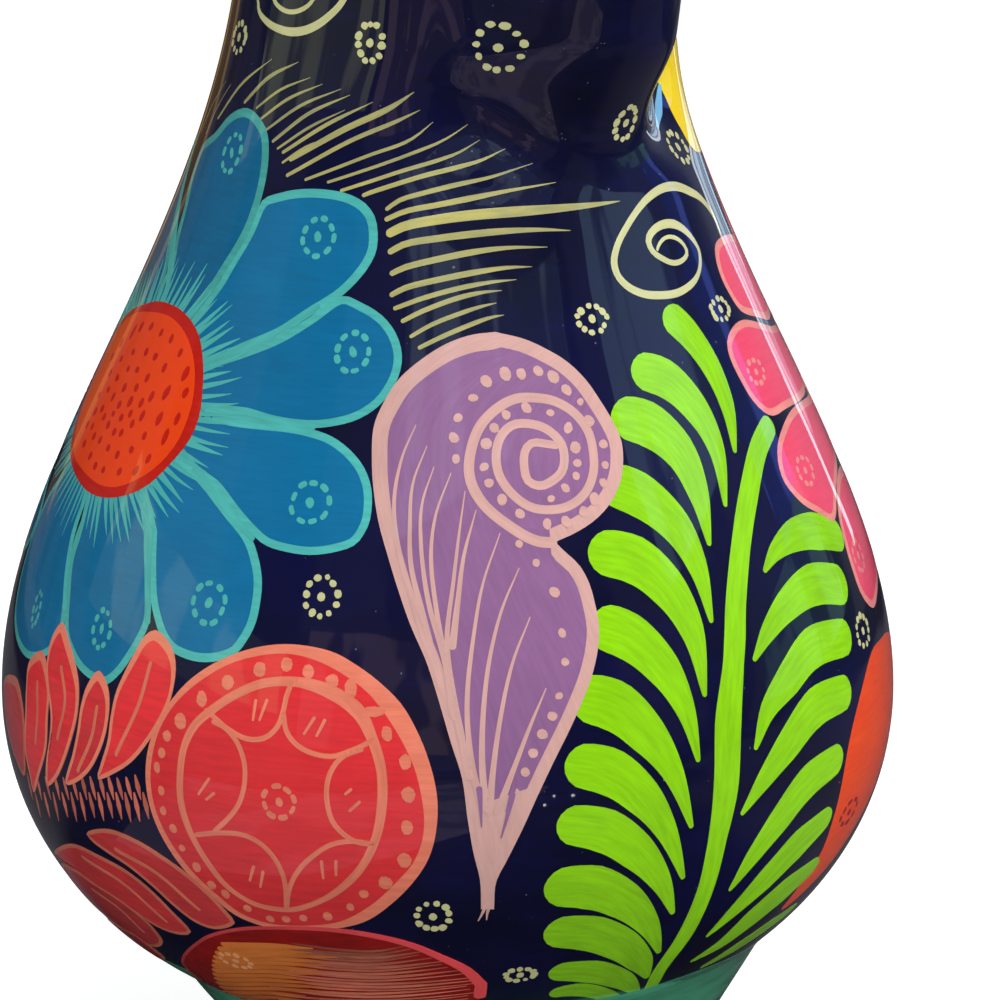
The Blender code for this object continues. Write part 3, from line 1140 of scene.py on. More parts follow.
def make_foot(material):
    """Ring foot, seated on the belly a little off centre."""
    bottom = OUTLINE[: CURVE_STEPS + 1]
    seat_height = float(np.interp(SEAT_RADIUS, bottom[:, 0], bottom[:, 1]))
    slip_top = seat_height + sizes().slip_reach * SLIP_RISE
    foot = thrown("ring_foot", foot_outline(seat_height), FOOT_TURNS, closed=True)
    aside = foot_axis()

    def seated(heading, radius, height):
        """Lifts each side of the cone to where the belly is over it, as the foot is off centre."""
        x, y = radius * np.cos(heading) + aside[0], radius * np.sin(heading) + aside[1]
        seat_x = SEAT_RADIUS * np.cos(heading) + aside[0]
        seat_y = SEAT_RADIUS * np.sin(heading) + aside[1]
        over = np.interp(np.hypot(seat_x, seat_y), bottom[:, 0], bottom[:, 1])
        share = eased((height - WAIST_RISE) / (seat_height - WAIST_RISE))
        moved = height + (over - seat_height) * share
        belly_here = np.interp(np.hypot(x, y), bottom[:, 0], bottom[:, 1])
        at_top = height > seat_height - SEAT_MARGIN
        deep = height > slip_top + SLIP_SUNK / 2
        moved = np.where(at_top, np.minimum(moved, belly_here + SEAT_MARGIN), moved)
        moved = np.where(deep, belly_here + SLIP_SUNK, moved)
        inner_top = (radius < SEAT_RADIUS - FOOT_WALL * 0.5) & at_top
        moved = np.where(inner_top, belly_here + BORE_SUNK, moved)
        return np.stack([x, y, moved], -1)

    reshape(foot, seated)
    finish_piece(foot, material, ("foot",))


def radius_at(height):
    return float(np.interp(height, OUTLINE[:, 1], OUTLINE[:, 0]))


def handle_line():
    """Middle line of the strap, as in the solids."""
    high = MOUTH_HEIGHT - HANDLE_DROP
    low = JOIN_HEIGHT + HANDLE_ROOT_RISE
    reach = NECK_RADIUS + HANDLE_REACH
    elbow = high - (high - low) * 0.42
    drop = high - elbow
    rise = elbow - low
    top = (radius_at(high) - HANDLE_THICK, high)
    end = (radius_at(low) - HANDLE_THICK, low)
    over = bezier(top, (reach * 0.86, high + drop * 0.42), (reach, elbow + drop * 0.55), (reach, elbow))
    under = bezier((reach, elbow), (reach, elbow - rise * 0.5), (reach * 0.7, low + rise * 0.2), end)
    return np.concatenate([over, under[1:]])


HANDLE_STATIONS = 130
HANDLE_SIDES = 48


def make_handle(material):
    """Pulled strap with a groove down its back, spread where it was thumbed on to the neck."""
    tube = [(0.0, 0.0)]
    tube += [(1.0, float(k)) for k in range(HANDLE_STATIONS + 1)]
    tube += [(0.0, float(HANDLE_STATIONS))]
    handle = thrown("strap_handle", tube, HANDLE_SIDES)
    line = handle_line()
    line = even(line, walked(line)[-1] / HANDLE_STATIONS)
    heading_along = np.gradient(line, axis=0)
    heading_along /= np.linalg.norm(heading_along, axis=1, keepdims=True)

    def strap(turn, radius, height):
        index = np.clip(np.rint(height).astype(int), 0, HANDLE_STATIONS)
        share = index / HANDLE_STATIONS
        ends = np.maximum(1 - share / ROOT_SHARE, 1 - (1 - share) / ROOT_SHARE)
        size = (1 - (1 - HANDLE_TAPER) * share) * (1 + (ROOT_SPREAD - 1) * eased(np.maximum(ends, 0)))
        mark = THUMB_MARK * mound(1 - ROOT_SHARE - share, ROOT_SHARE / 2)
        across = HANDLE_WIDTH * size / 2 * np.cos(turn) * radius
        out = HANDLE_THICK * size / 2 * np.sin(turn) * radius
        groove = (GROOVE + mark) * mound(across, HANDLE_WIDTH * size * 0.24)
        out = np.where(out > 0, out - groove * radius, out)
        centre, way = line[index], heading_along[index]
        x = -(centre[:, 0] + way[:, 1] * out)
        z = centre[:, 1] - way[:, 0] * out
        return np.stack([x, across, z], -1)

    reshape(handle, strap)
    start_editing(handle)
    bpy.ops.mesh.normals_make_consistent(inside=False)
    stop_editing()
    seat = moved_in(OUTLINE, 0.003)
    seat = even(seat[seat[:, 1] > JOIN_HEIGHT - 0.01], 0.004)
    top = [[seat[-1][0], MOUTH_HEIGHT + WALL], [0.0, MOUTH_HEIGHT + WALL]]
    seat = np.concatenate([[[0.0, seat[0][1]]], seat, top])
    cutter = thrown("handle_seat", seat, 96)
    cut = handle.modifiers.new("seat", "BOOLEAN")
    cut.operation = "DIFFERENCE"
    cut.solver = "EXACT"
    cut.object = cutter
    apply_modifier(handle, cut)
    bpy.data.objects.remove(cutter)
    finish_piece(handle, material, ("handle",))


# What is painted: outlines and brush lines in pixels of the frame. A third number in a place is how
# many degrees further round the jug it lies, where a shape goes on behind the visible edge.

DAISY_PETALS = (
    ((166, 281), (170, 250), (178, 210), (191, 160), (196, 132), (184, 150, -5), (168, 190, -8),
     (150, 240, -9), (142, 285, -8), (150, 312, -3)),
    ((172, 300), (174, 248), (184, 209), (193, 172), (202, 147), (216, 132), (230, 115), (247, 108),
     (260, 118), (268, 136), (267, 173), (252, 226), (224, 274), (194, 318)),
    ((196, 330), (224, 274), (248, 232), (262, 201), (280, 193), (303, 189), (330, 190), (351, 195),
     (367, 205), (376, 220), (377, 248), (371, 263), (362, 276), (342, 296), (312, 315), (281, 335),
     (245, 350), (208, 363)),
    ((205, 372), (208, 363), (245, 350), (281, 335), (310, 317), (342, 296), (362, 303), (379, 313),
     (390, 324), (398, 338), (402, 355), (400, 372), (393, 388), (382, 403), (368, 414), (351, 422),
     (317, 428), (280, 425), (240, 414), (202, 405)),
    ((203, 415), (245, 420), (292, 425), (311, 429), (331, 436), (348, 448), (362, 464), (369, 479),
     (372, 495), (370, 520), (364, 534), (355, 545), (335, 552), (310, 555), (287, 552), (265, 545),
     (250, 532), (235, 515), (218, 492), (200, 470)),
    ((198, 468), (215, 490), (232, 512), (250, 535), (258, 556), (262, 580), (260, 604), (255, 625),
     (246, 642), (235, 655), (218, 661), (200, 662), (184, 658), (170, 650), (161, 637), (155, 620),
     (151, 600), (150, 580), (151, 535), (156, 488)),
    ((150, 490), (150, 540), (151, 580), (150, 620), (142, 640), (130, 660), (118, 676), (105, 685),
     (92, 680), (80, 670), (71, 654), (65, 635), (66, 600), (70, 560), (79, 530), (90, 495)),
    ((88, 495), (76, 530), (69, 570), (66, 610), (60, 640), (46, 656), (30, 660, -1), (22, 645, -3),
     (20, 620, -4), (26, 585, -5), (35, 550, -5), (46, 520, -5), (60, 490, -4), (72, 470)),
)
FAR_PETALS = (
    ((720.6, 237.5), (715, 246.7), (716.5, 262), (721.6, 278.4), (729.8, 294.7), (740, 310),
     (757, 317), (768, 322, 3), (765, 312, 10), (757, 290, 12), (745, 262, 9), (733, 241, 5)),
    ((727, 342), (732, 328), (742, 320), (757, 322), (769.6, 326), (778, 331, 5), (790, 352, 11),
     (799, 378, 12), (803, 396, 6), (787, 408), (769.6, 415.4), (753.5, 401.7), (739.7, 378.7),
     (730, 358)),
    ((777.6, 445), (783, 426), (792.5, 408.5), (808.6, 399, 2), (816, 412, 9), (826, 436, 12),
     (834, 457, 5), (836, 486.6), (833.8, 521), (818, 513), (804, 505), (792, 493), (783, 479.7),
     (778, 462)),
    ((837, 478), (838.4, 514), (844, 540), (850, 562), (861.4, 594.5), (873, 608), (877, 592),
     (876, 560, 5), (868, 528, 10), (855, 495, 11), (843, 472, 5)),
)
DAISY_RIM = (
    (160.7, 301.4), (183.7, 312), (199, 334.9), (203.7, 367.4), (202.8, 391.5), (200, 414.4),
    (191.3, 437.4), (172, 462.3), (145.4, 487), (114.8, 497.7), (91.8, 493.8), (78.4, 477.6, -1),
    (74.6, 456.5, -3), (80.3, 424, -5), (93.7, 383.8, -6), (112.9, 344.4, -6), (132, 315.7, -3),
    (145.4, 304.3),
)
DAISY_HEART = (
    (149, 312), (172, 317.7), (187.5, 336.8), (195, 365.5), (194, 395), (188.4, 418), (176, 445),
    (153, 470), (122.4, 486), (103.3, 486), (84.2, 470, -1), (77.5, 456.5, -2), (82.3, 424, -4),
    (96.6, 382, -5), (114.8, 344.4, -5), (134, 317.7, -2),
)
DAISY_ROSETTES = (
    (232, 153, 34, 46), (318, 237, 39, 44), (353, 352, 39, 46), (310, 503, 44, 46),
    (209, 603, 42, 46), (102, 629, 32, 44), (37, 609, 20, 40),
)
FAR_ROSETTES = ((756, 372, 28), (805, 470.5, 33), (858, 555.5, 36))
DAISY_JOINTS = (
    (20, 14, (205, 405), (250, 413), (315, 429)), (16, 6, (193, 468), (214, 494), (254, 540)),
    (16, 7, (150, 500), (148, 560), (148, 625)), (14, 8, (95, 498), (77, 540), (68, 600)),
    (14, 8, (168, 310), (172, 255), (180, 200), (192, 135)),
    (16, 7, (204, 370), (250, 345), (320, 305)),
)
HEART_DOTS = (
    (134, 332, 15), (142, 327, 11), (152, 327, 9), (162, 333, 8), (172, 339, 9), (181, 353, 9),
    (186, 374, 15), (186, 393, 11), (178, 419, 12), (166, 437, 15), (149, 459, 9), (136, 471, 10),
    (120, 472, 8), (104, 470, 7), (96, 466, 8), (91, 456, 8), (85, 444, 8), (88, 425, 8), (96, 412, 8),
    (100, 395, 6), (111, 373, 8), (113, 357, 8), (122, 343, 9), (122, 359, 7), (134, 352, 6),
    (147, 352, 8), (156, 357, 8), (165, 368, 10), (167, 393, 15), (160, 419, 14), (145, 436, 8),
    (132, 450, 7), (118, 455, 8), (109, 448, 7), (101, 440, 8), (95, 436, 8), (93, 427, 7), (103, 409, 8),
    (109, 390, 6), (118, 378, 7), (129, 369, 6), (138, 370, 6), (148, 378, 9), (152, 397, 11),
    (143, 416, 11), (133, 424, 8), (122, 433, 8), (115, 432, 8), (109, 425, 8), (105, 417, 7),
    (114, 414, 6), (114, 397, 9), (125, 388, 9), (137, 388, 8), (142, 403, 10), (131, 414, 8),
    (122, 418, 8), (120, 405, 8), (131, 402, 11),
)

FAN = (
    (1.5, (201, 132), (211, 108), (226, 81)),
    (1.5, (206, 134), (217, 108), (231, 84)),
    (3.5, (217.6, 119), (240, 86), (272, 59)),
    (4.5, (244, 103), (268, 78), (298.5, 62)),
    (3, (256, 108.5), (280, 90), (310.5, 77.5)),
    (3.4, (260.6, 119), (288, 99), (322.6, 84)),
    (3.4, (266, 130), (300, 106), (341, 89)),
    (4, (272, 142), (308, 114), (350, 95)),
    (3, (277, 149), (310, 127), (345, 110)),
    (4.2, (282, 153), (326, 125), (373, 102)),
    (3, (282, 163), (306, 147), (338, 136)),
    (6.5, (289, 160), (345, 129), (390, 108), (414, 92)),
    (4.6, (286, 176), (350, 141), (395, 122), (420, 110)),
    (3.6, (304.5, 180), (370, 155), (410, 140), (433, 122)),
    (3.4, (327, 182.5), (370, 168.5), (413, 153), (444, 140), (467.6, 124.6)),
    (4, (340, 191), (370, 181.5), (404, 170.3), (439, 160), (459.5, 152.2), (479.7, 140)),
    (4.8, (362, 196), (370, 192.7), (421.7, 176.3), (456, 167.7), (482, 160), (505.5, 148.7)),
    (5, (385.5, 210), (399.3, 200.4), (421.7, 193.5), (456, 184.9), (490.5, 177.2), (532.7, 163.4)),
    (5.8, (384.6, 220.2), (404.4, 211.6), (438.9, 204.7), (473.3, 197.8), (507.8, 190.9), (556, 182.3)),
    (10.5, (386.4, 234.9), (404.4, 226.2), (438.9, 219.4), (473.3, 215), (516.4, 211.6),
     (559.4, 208.2), (593.9, 204.7), (620, 201)),
    (7.2, (388, 253), (404.4, 244.3), (438.9, 238.3), (473.3, 234), (507.8, 230.9), (542.2, 229.7),
     (570.6, 230.5)),
    (6.5, (389.8, 274.5), (404.4, 267.6), (438.9, 259), (473.3, 252.1), (507.8, 247.8), (547.4, 247)),
    (6.2, (389.8, 296), (404.4, 288.2), (438.9, 279.6), (473.3, 272.7), (507.8, 267.6), (532, 266.7)),
    (5.2, (393.2, 309), (421.7, 298.6), (456, 289), (490.5, 282.2), (516.4, 279.6)),
    (5.2, (401, 322), (421.7, 311.5), (456.1, 298.6), (481.9, 292.5), (501.7, 290.5)),
    (4.5, (409.6, 337.3), (430.3, 325.3), (456.1, 314.9), (481.9, 306.3), (496.6, 303)),
    (4.8, (417.9, 348.5), (438.9, 338.2), (464.7, 327), (490.5, 317.5), (504, 315)),
)

PAISLEY_LEFT = (
    (495, 332), (471, 335), (446, 344), (422, 359), (399, 379), (384, 402), (374, 426), (372, 463),
    (374, 493), (379, 524), (387, 553), (396, 583), (410, 624), (426, 661), (438, 698), (451, 743),
    (462, 778), (467.5, 818), (473.5, 853), (480, 880), (481, 909),
)
PAISLEY_HEAD = (
    (495, 332), (524, 339), (546, 349), (566, 361), (585, 379), (601, 402), (613, 422), (621, 440),
    (623, 459), (621, 479), (611, 502), (595, 520), (575, 533), (555, 542),
)
PAISLEY_BODY = (
    (555, 542), (564, 551), (579, 565), (589, 583), (594, 600), (599, 627), (598, 647), (592, 675),
    (575, 718), (554, 761), (537, 797), (522, 830), (507, 860), (496, 882), (494, 909),
)
PAISLEY_SPIRAL = (
    (557, 543), (536, 541), (509, 526), (483, 504), (470, 479), (470, 455), (479, 428), (495, 410),
    (515, 399), (536, 398), (556, 402), (575, 414), (588, 432), (593, 453), (593, 473), (585, 493),
    (569, 506), (550, 510), (530, 507), (511, 493), (499, 475), (496, 455), (501, 436), (513, 425),
    (530, 424), (546, 429), (560, 442), (564, 455), (562, 471), (552, 481), (540, 486), (528, 481),
    (524, 467), (525, 451), (532, 443), (546, 444), (559, 446),
)
WAIST_SHARE = 0.385
TAIL_SHARE = 0.71
PAISLEY_DOTS = (
    (456, 459), (454, 438), (458, 418), (473, 398), (486, 381), (505, 374), (521, 374), (538, 371),
    (553, 377), (566, 390), (580, 402), (589, 421), (603, 444), (605, 465), (603, 483), (594, 499),
    (584, 512), (566, 522), (547, 524), (520, 514), (502, 500), (489, 483), (484, 467), (486, 444),
    (494, 428), (506, 415), (526, 408), (550, 413), (568, 428), (575, 448), (577, 463), (576, 476),
    (565, 488), (551, 499), (519, 544), (536, 563), (554, 592), (562, 633), (565, 662), (559, 696),
    (552, 716), (542, 734), (533, 753), (525, 772), (515, 793),
)
PAISLEY_LINES = (
    ((416, 425), (402, 458), (394, 504), (401, 560), (414, 604), (432, 660)),
    ((427, 446), (413, 483), (410, 524), (411, 565), (422, 612), (442, 690)),
    ((434, 467), (422, 504), (421, 544), (428, 600), (446, 665), (454, 720)),
    ((451, 473), (436, 514), (431, 555), (438, 620), (452, 690), (462, 742)),
    ((465, 491), (459, 534), (453, 585), (447, 640), (456, 710), (470, 780)),
    ((476, 510), (464, 555), (458, 600), (452, 650)),
    ((500, 533), (483, 583), (473, 640), (467, 702), (471, 759), (482, 810)),
    ((519, 568), (503, 606), (491, 651), (484, 702), (482, 760), (486, 812)),
    ((530, 617), (513, 661), (501, 714), (493, 770), (489, 816)),
    ((546, 688), (530, 726), (514, 768), (496, 815)),
)
PAISLEY_SLITS = (
    ((479, 786), (480.5, 806), (481.5, 827)), ((513, 792), (508, 813), (501, 838)),
    ((516, 780), (511, 796), (506, 812)),
)
PAISLEY_DRIPS = (((485, 907), (482, 914), (478, 921)), ((489, 907), (487, 914), (486.5, 920)))

FERN_STEM = (
    (771, 420, 25), (758, 450, 26), (748, 498, 27), (741, 545, 26), (736, 601, 27), (735, 638, 28),
    (733.5, 664, 27), (728.5, 720, 34), (726, 789, 32), (717, 842, 24), (706, 888, 22),
    (686, 933, 22), (660, 970, 18), (640, 998, 15),
)
# Heading in degrees, height in millimetres
FERN_FOOT = (-3.5, 37.0)
FERN_FOOT_PIXELS = 8.0
FERN_LEAVES = (
    ((39, 36, 31, 23, 5), (664, 310), (690, 335), (712, 368), (727, 405), (735, 453)),
    ((41, 44, 37, 24, 5), (631, 368), (668, 380), (697, 410), (716, 448), (725.5, 507)),
    ((45, 50, 42, 28, 5), (611, 415), (650, 425), (680, 452), (698, 492), (709.5, 546)),
    ((46, 48, 39, 25, 5), (600, 480), (640, 495), (675, 525), (697, 565), (711.7, 623)),
    ((46, 50, 43, 29, 5), (588, 550), (635, 560), (668, 588), (692, 630), (705, 697)),
    ((48, 48, 39, 23, 5), (590, 622), (630, 637), (663, 668), (685, 708), (698.6, 762)),
    ((48, 51, 41, 25, 5), (572, 695), (615, 706), (648, 735), (672, 770), (691.7, 828)),
    ((44, 48, 39, 25, 5), (565, 763), (610, 772), (643, 797), (665, 828), (683.3, 879)),
    ((41, 46, 39, 24, 5), (557, 823), (605, 831), (637, 852), (660, 880), (673, 914)),
    ((45, 52, 42, 25, 5), (544, 888), (592, 888), (625, 902), (648, 925), (659, 953)),
    ((42, 48, 42, 29, 5), (544, 932), (590, 934), (620, 945), (640, 962), (647, 978)),
    ((30, 39, 30, 10), (549, 972), (590, 972), (620, 980), (636, 992)),
    ((22, 28, 22, 10), (549, 994), (575, 990), (602, 994), (622, 1002)),
    ((34, 41, 34, 19, 5), (843, 537), (815, 531), (793, 536), (775, 552), (763.8, 572)),
    ((44, 44, 34, 21, 5), (847, 585), (812, 585), (787, 605), (768, 632), (753.5, 661)),
    ((39, 44, 37, 23, 5), (851, 635), (812, 648), (788, 680), (768, 710), (755, 750)),
    ((37, 44, 37, 23, 5), (851, 689), (815, 708), (788, 745), (764, 780), (741, 815)),
    ((34, 41, 36, 24, 5), (843, 754), (808, 782), (778, 822), (752, 858), (729, 891)),
    ((26, 44, 38, 23, 5), (832, 812), (798, 845), (765, 880), (735, 910), (706, 937)),
    ((24, 44, 41, 24, 5), (819, 861), (785, 890), (752, 918), (722, 943), (690, 962)),
    ((15, 30, 27, 8), (796, 905), (765, 928), (735, 948), (700, 968)),
)

ROUND_RIM = (
    (292, 644.2), (332, 651.6), (355, 664), (378.3, 681), (401.5, 704.2), (418.3, 733.6), (431, 767.3),
    (437.3, 798.9), (436.2, 830.5), (428.9, 857.8), (414.1, 881), (391, 904.1), (365.7, 921),
    (336.2, 928.3), (298.4, 929.4), (264.7, 926.2), (235.2, 914.6), (214.2, 897.8), (188.9, 874.7),
    (165.8, 843.1), (151, 809.4), (145.8, 775.7), (148.9, 746.3), (157.4, 723.1), (170, 702.1),
    (191, 678.9), (220.5, 660), (256.3, 647.4),
)
ROUND_FILL = (
    (287.8, 653.7), (315.2, 660), (340.5, 672.6), (366, 691), (382, 710), (395.2, 729.4),
    (406.8, 750.5), (415, 770), (421, 794), (424.2, 820), (421.5, 843.1), (412, 864.1),
    (393, 885.2), (372, 904.1), (340.5, 921), (308.9, 925), (266.8, 922.4), (239, 911.5),
    (220, 896.6), (194.5, 873), (171.5, 842.5), (156.5, 811), (151, 781), (153.4, 752),
    (160.6, 728), (174.5, 705), (196.5, 684), (227.5, 665), (258.4, 655.8),
)
ROUND_DOTS = (
    (286.8, 664.6, 12, 15), (308.5, 671.6, 12, 15), (332.5, 680.6, 13, 14), (351, 688.5, 12, 21),
    (373, 711.5, 24, 11), (386.8, 733.6, 11, 16), (405.3, 762, 12, 16), (408.2, 794.7, 14, 17),
    (406.8, 827.3, 12, 15), (404.2, 859.9, 14, 16), (385.7, 882.6, 14, 16), (364, 893.6, 10, 10),
    (350.3, 906.6, 8, 10), (327.8, 915.7, 10, 11), (303.6, 917.8, 9, 9), (286.4, 918.8, 9, 9),
    (270.4, 918.4, 9, 9), (247.9, 907.9, 9, 9), (225.8, 893.6, 9, 11), (212, 884.8, 9, 11),
    (196.9, 866.7, 9, 12), (182.6, 847.9, 7, 8), (173.6, 828.4, 8, 10), (163.7, 810.5, 7, 10),
    (161.6, 790.5, 7, 10), (157.4, 767.3, 7, 12), (162.2, 752.6, 8, 12), (167.5, 736.2, 9, 12),
    (180.9, 721, 12, 17), (202, 698.9, 11, 16), (228.3, 682.5, 12, 16), (259.9, 669.5, 12, 16),
)
ROUND_RING = (
    (298.4, 682.1, 10), (330, 691.6, 14), (357.3, 710.5, 15), (372, 737.9, 11), (381.5, 771.5, 10),
    (381.5, 809.4, 10), (374.1, 843.1, 9), (357.3, 872.6, 8), (330, 895.7, 8), (298.4, 908.3, 6),
    (285.7, 909.4, 6), (256.3, 904.1, 6), (228.9, 887.3, 6), (207.9, 862, 7), (191, 832.6, 7),
    (181.6, 803.1, 8), (180.5, 775.7, 8), (184.7, 746.3, 8), (195.2, 725.2, 9), (214.2, 708.4, 9),
    (237.3, 693.7, 9), (264.7, 683.1, 9),
)
ROUND_ARCS = (
    ((205, 709), (214.2, 716.8), (228.9, 729.4), (247.9, 738.9), (264.7, 737.9), (277.3, 727.3),
     (283.6, 710.5), (286.8, 695.8), (291, 685.2)),
    ((283.6, 712), (286.8, 731.5), (296.3, 744.2), (311, 752.6), (332, 756.4), (348.9, 751.5),
     (363.6, 745.2), (374.5, 738.5)),
    ((363.6, 748.4), (342.6, 756.8), (331, 771.5), (326.8, 788.4), (327.8, 805.2), (333.1, 822),
     (344.7, 834.7), (357.3, 842), (374.1, 844.1)),
    ((374.1, 844.1), (353.1, 841), (332, 844.1), (313.1, 855.7), (298.4, 870.4), (289.9, 887.3),
     (286.8, 908.3)),
    ((195.2, 834.7), (218.4, 832.6), (243.6, 834.7), (260.5, 843.1), (273.1, 855.7), (281.5, 870.4),
     (285.7, 885.2), (286.8, 908.3)),
    ((212.1, 721), (224.7, 727.3), (237.3, 742.1), (244.7, 763.1), (244.7, 784.2), (239.4, 803.1),
     (228.9, 817.8), (214.2, 831.5)),
)
ROUND_TICKS = (
    ((256.3, 698.9), (253.1, 721)), ((267.8, 698.9), (259.4, 721)), ((315.2, 716.8), (303.6, 734.7)),
    ((325.7, 718.9), (316.3, 736.8)), ((352, 788.4), (344.7, 794.7)), ((360.5, 801), (348.9, 811.5)),
    ((321.5, 859.9), (323.6, 878.9)), ((336.2, 859.9), (336.2, 875.7)), ((254.2, 865.2), (250, 881)),
    ((263.6, 870.4), (260.5, 887.3)), ((210, 777.8), (198.4, 794.7)), ((215.2, 792.6), (205.8, 799.9)),
)
ROUND_MIDDLE = (279.4, 802)
ROUND_POINTS = 120
RING_POINTS = 132
# Tint that the round flower loses for each metre downwards, painted shade
DEEPENING = 9

LEAVES = (
    ((155.9, 629.9), (170.8, 644.8), (175.8, 663), (172.5, 692.9), (164, 716), (149, 741),
     (132.7, 761), (116, 772.5), (97.8, 779), (101, 764), (107.8, 741), (111, 716), (116, 692.9),
     (126, 669.7), (137.6, 648), (144.3, 636.5)),
    ((99.5, 670.5), (107.8, 686), (109.5, 706), (106, 732.7), (99.5, 752.6), (89.6, 770.8),
     (76.3, 782.4), (66.3, 784), (73, 754), (78, 729.4), (81.3, 706), (87.9, 684.6)),
    ((63, 622.4), (68, 636.5), (74.6, 659.7), (78.8, 682.9), (77.9, 712.8), (71.3, 741), (63, 765.8),
     (56.4, 779), (48, 785.7), (46.4, 769), (49.8, 741), (51.4, 716), (48, 683), (48, 658),
     (53, 636.5)),
    ((43, 651.4), (49.8, 682.9), (48, 716), (46.4, 749), (39.8, 774), (34, 792.4), (29.9, 774),
     (24.9, 746), (25.7, 716), (26.5, 688), (29, 663), (36.5, 653)),
    ((16.6, 678), (22, 700), (25, 730), (24.9, 776), (20, 760, -3), (14, 725, -6), (12, 695, -6)),
    ((87, 833.5), (107, 828.7), (134, 838.3), (162.6, 855.5), (191.3, 876.5), (214.3, 897.6),
     (229.6, 914.8), (235.3, 922.4), (216, 928.6), (197, 922.4), (176, 907), (153, 886), (130, 867),
     (107, 851.7), (91.8, 840)),
    ((59.3, 846.9), (74.6, 844), (95.7, 853.6), (124.4, 868.9), (149.2, 888), (172.2, 911),
     (191.3, 932), (178, 934), (156.9, 926.3), (133.9, 911), (104, 891), (78, 872, -1), (60, 859, -2)),
    ((62, 863), (76, 870), (92, 881), (108, 891), (124.4, 902), (138, 913), (151, 925), (162.6, 940),
     (160, 946), (150, 945.5, -1), (133.9, 934, -4), (107, 914.8, -6), (86, 891.8, -6), (70, 873, -3)),
    ((120, 926), (138, 936), (163.6, 956.9), (150, 958), (128, 944, -2), (112, 925, -3)),
)
LEAF_VEINS = (
    ((151.7, 661), (139, 705), (116, 756)), ((98, 705), (92, 738), (78, 772)),
    ((62, 665), (66, 700), (58, 740)), ((38, 680), (38, 715), (36, 745)), None,
    ((115, 848), (158, 873), (201, 910)), ((82, 856), (125, 884), (168, 922)),
    ((92, 888), (120, 908), (145, 932)), None,
)
NEAR_HEART = 1.42
GRASS = tuple(range(34, 150, 9))

LOW_FLOWER = (
    (183, 963), (183.5, 958), (187, 952), (196, 944), (211.5, 935), (243, 928.5), (289, 927.5),
    (337.5, 930), (381, 937), (412.7, 945.4), (441.8, 957.6), (466, 969.7), (481, 984),
)
LOW_FLOWER_SIDE = ((183, 963), (188, 969), (199, 978), (211, 989), (221, 999))
LOW_FLOWER_DEPTH_MM = 35.5
LOW_ROSETTE = (236, 960, 42, 26)

SIDE_PETAL = (
    (887, 632), (880, 640), (872, 651), (861.8, 689), (849, 743), (833.8, 816.8), (821, 852.5),
    (800, 885), (780, 911), (800, 885, 8), (826, 850, 10), (850, 812, 11), (872, 760, 12),
    (885, 700, 12), (890, 655, 7),
)
SIDE_ROSETTE = (849, 812, 30)
# Degrees of heading and millimetres of climb
NECK_PETAL = (
    (40.1, 268.8), (38.8, 273), (37.6, 277.3), (36.5, 281.4), (33, 286), (28, 291), (25, 295.5),
    (25, 300), (34, 298.5), (48, 293), (61, 286), (66, 280), (66, 275), (61, 270.5), (50, 267),
)
NECK_DAB = ((660, 84), (658.5, 104), (657, 129))

NECK_PETAL_TURN = 0.5

OPEN_SPIRAL = (
    (720.6, 234.5, 3), (715.5, 220.2, 6), (709.4, 209, 8), (700.2, 197.8, 9), (690, 191.6, 10),
    (676.7, 186.5, 10), (661.4, 188.6, 9), (647, 198.8, 8), (636, 212, 7), (625.7, 228.4, 7),
    (617.6, 244.7, 7), (614, 262, 8), (617.6, 275.3, 8), (627.8, 286.5, 8.5), (643, 293.7, 8.5),
    (661.4, 295.2, 8.5), (677.8, 292.7, 8), (692, 283.5, 7), (698, 274.3, 5), (700.2, 262, 5),
    (698.7, 249.8, 5), (693, 239.6, 7), (684.9, 230.4, 9), (674.7, 224.3, 10), (663.5, 224.3, 9),
    (653.3, 230.4, 8), (648.2, 240.6, 8), (652.2, 250.8, 7), (661.4, 258, 7), (673.7, 263, 6),
    (683.9, 259, 5), (687, 251.8, 5), (682.9, 243.7, 5), (674.7, 237.6, 5), (665.5, 237.6, 4),
    (659.4, 243.7, 4), (656.8, 250.8, 3),
)
TOP_SPIRAL = (
    (252, -38, 2), (254, -18, 3), (258, 0, 4), (258.9, 10.3, 5), (265.8, 20.7, 7), (277.8, 28.4, 8),
    (293.3, 31.9, 9), (310.5, 28.4, 9), (327.8, 17.2, 8), (343.3, 0, 7), (350, -20, 6),
    (342, -42, 5), (322, -52, 5), (298, -50, 5), (280, -38, 5), (272, -18, 5), (274.4, 0, 5),
    (281.3, 8.6, 5), (291.6, 12, 5), (303.7, 8.6, 5), (313, 0, 4), (318, -14, 4), (311, -27, 3),
    (299, -28, 3),
)
CREAM_ROSETTES = (
    (498, 48, 44, 57), (370, 43, 30, 46), (239, 37, 18, 36), (626, 123, 24, 44), (678, 147, 18, 38),
    (592, 319, 35, 32), (720.6, 309, 22, 26), (321, 597, 38, 48), (433, 917, 40, 40),
    (520, 975, 36, 24), (863, 631, 18, 38),
)

RIM_TOUCHES = 52
RIM_TOUCH_GAPS = (0.0046, 0.0054)
RIM_TOUCH_LENGTHS = (0.0085, 0.0105)
RIM_TOUCH_WIDTHS = (0.0021, 0.0003)

BORDER = 0.0018
PETAL_POINTS = 72
UNDER_HEART = 0.0036
HEART_DOT_WIDTH = 0.0017
HEART_DOT_SPREAD = 0.0003
FAR_ROSETTE_WIDTH = 0.0085
SIDE_ROSETTE_WIDTH = 0.0095
HAIR_COUNT = 92
HAIR_LENGTHS = (0.0072, 0.0120)
HAIR_BEND = 0.0006
HAIR_ROOT = 0.0006
HAIR_BREADTHS = (0.0011, 0.0017)

# Degrees that the near motifs are turned by, and by which they come again behind
NEAR_SIDE = 0.0
FAR_SIDE = 180.0

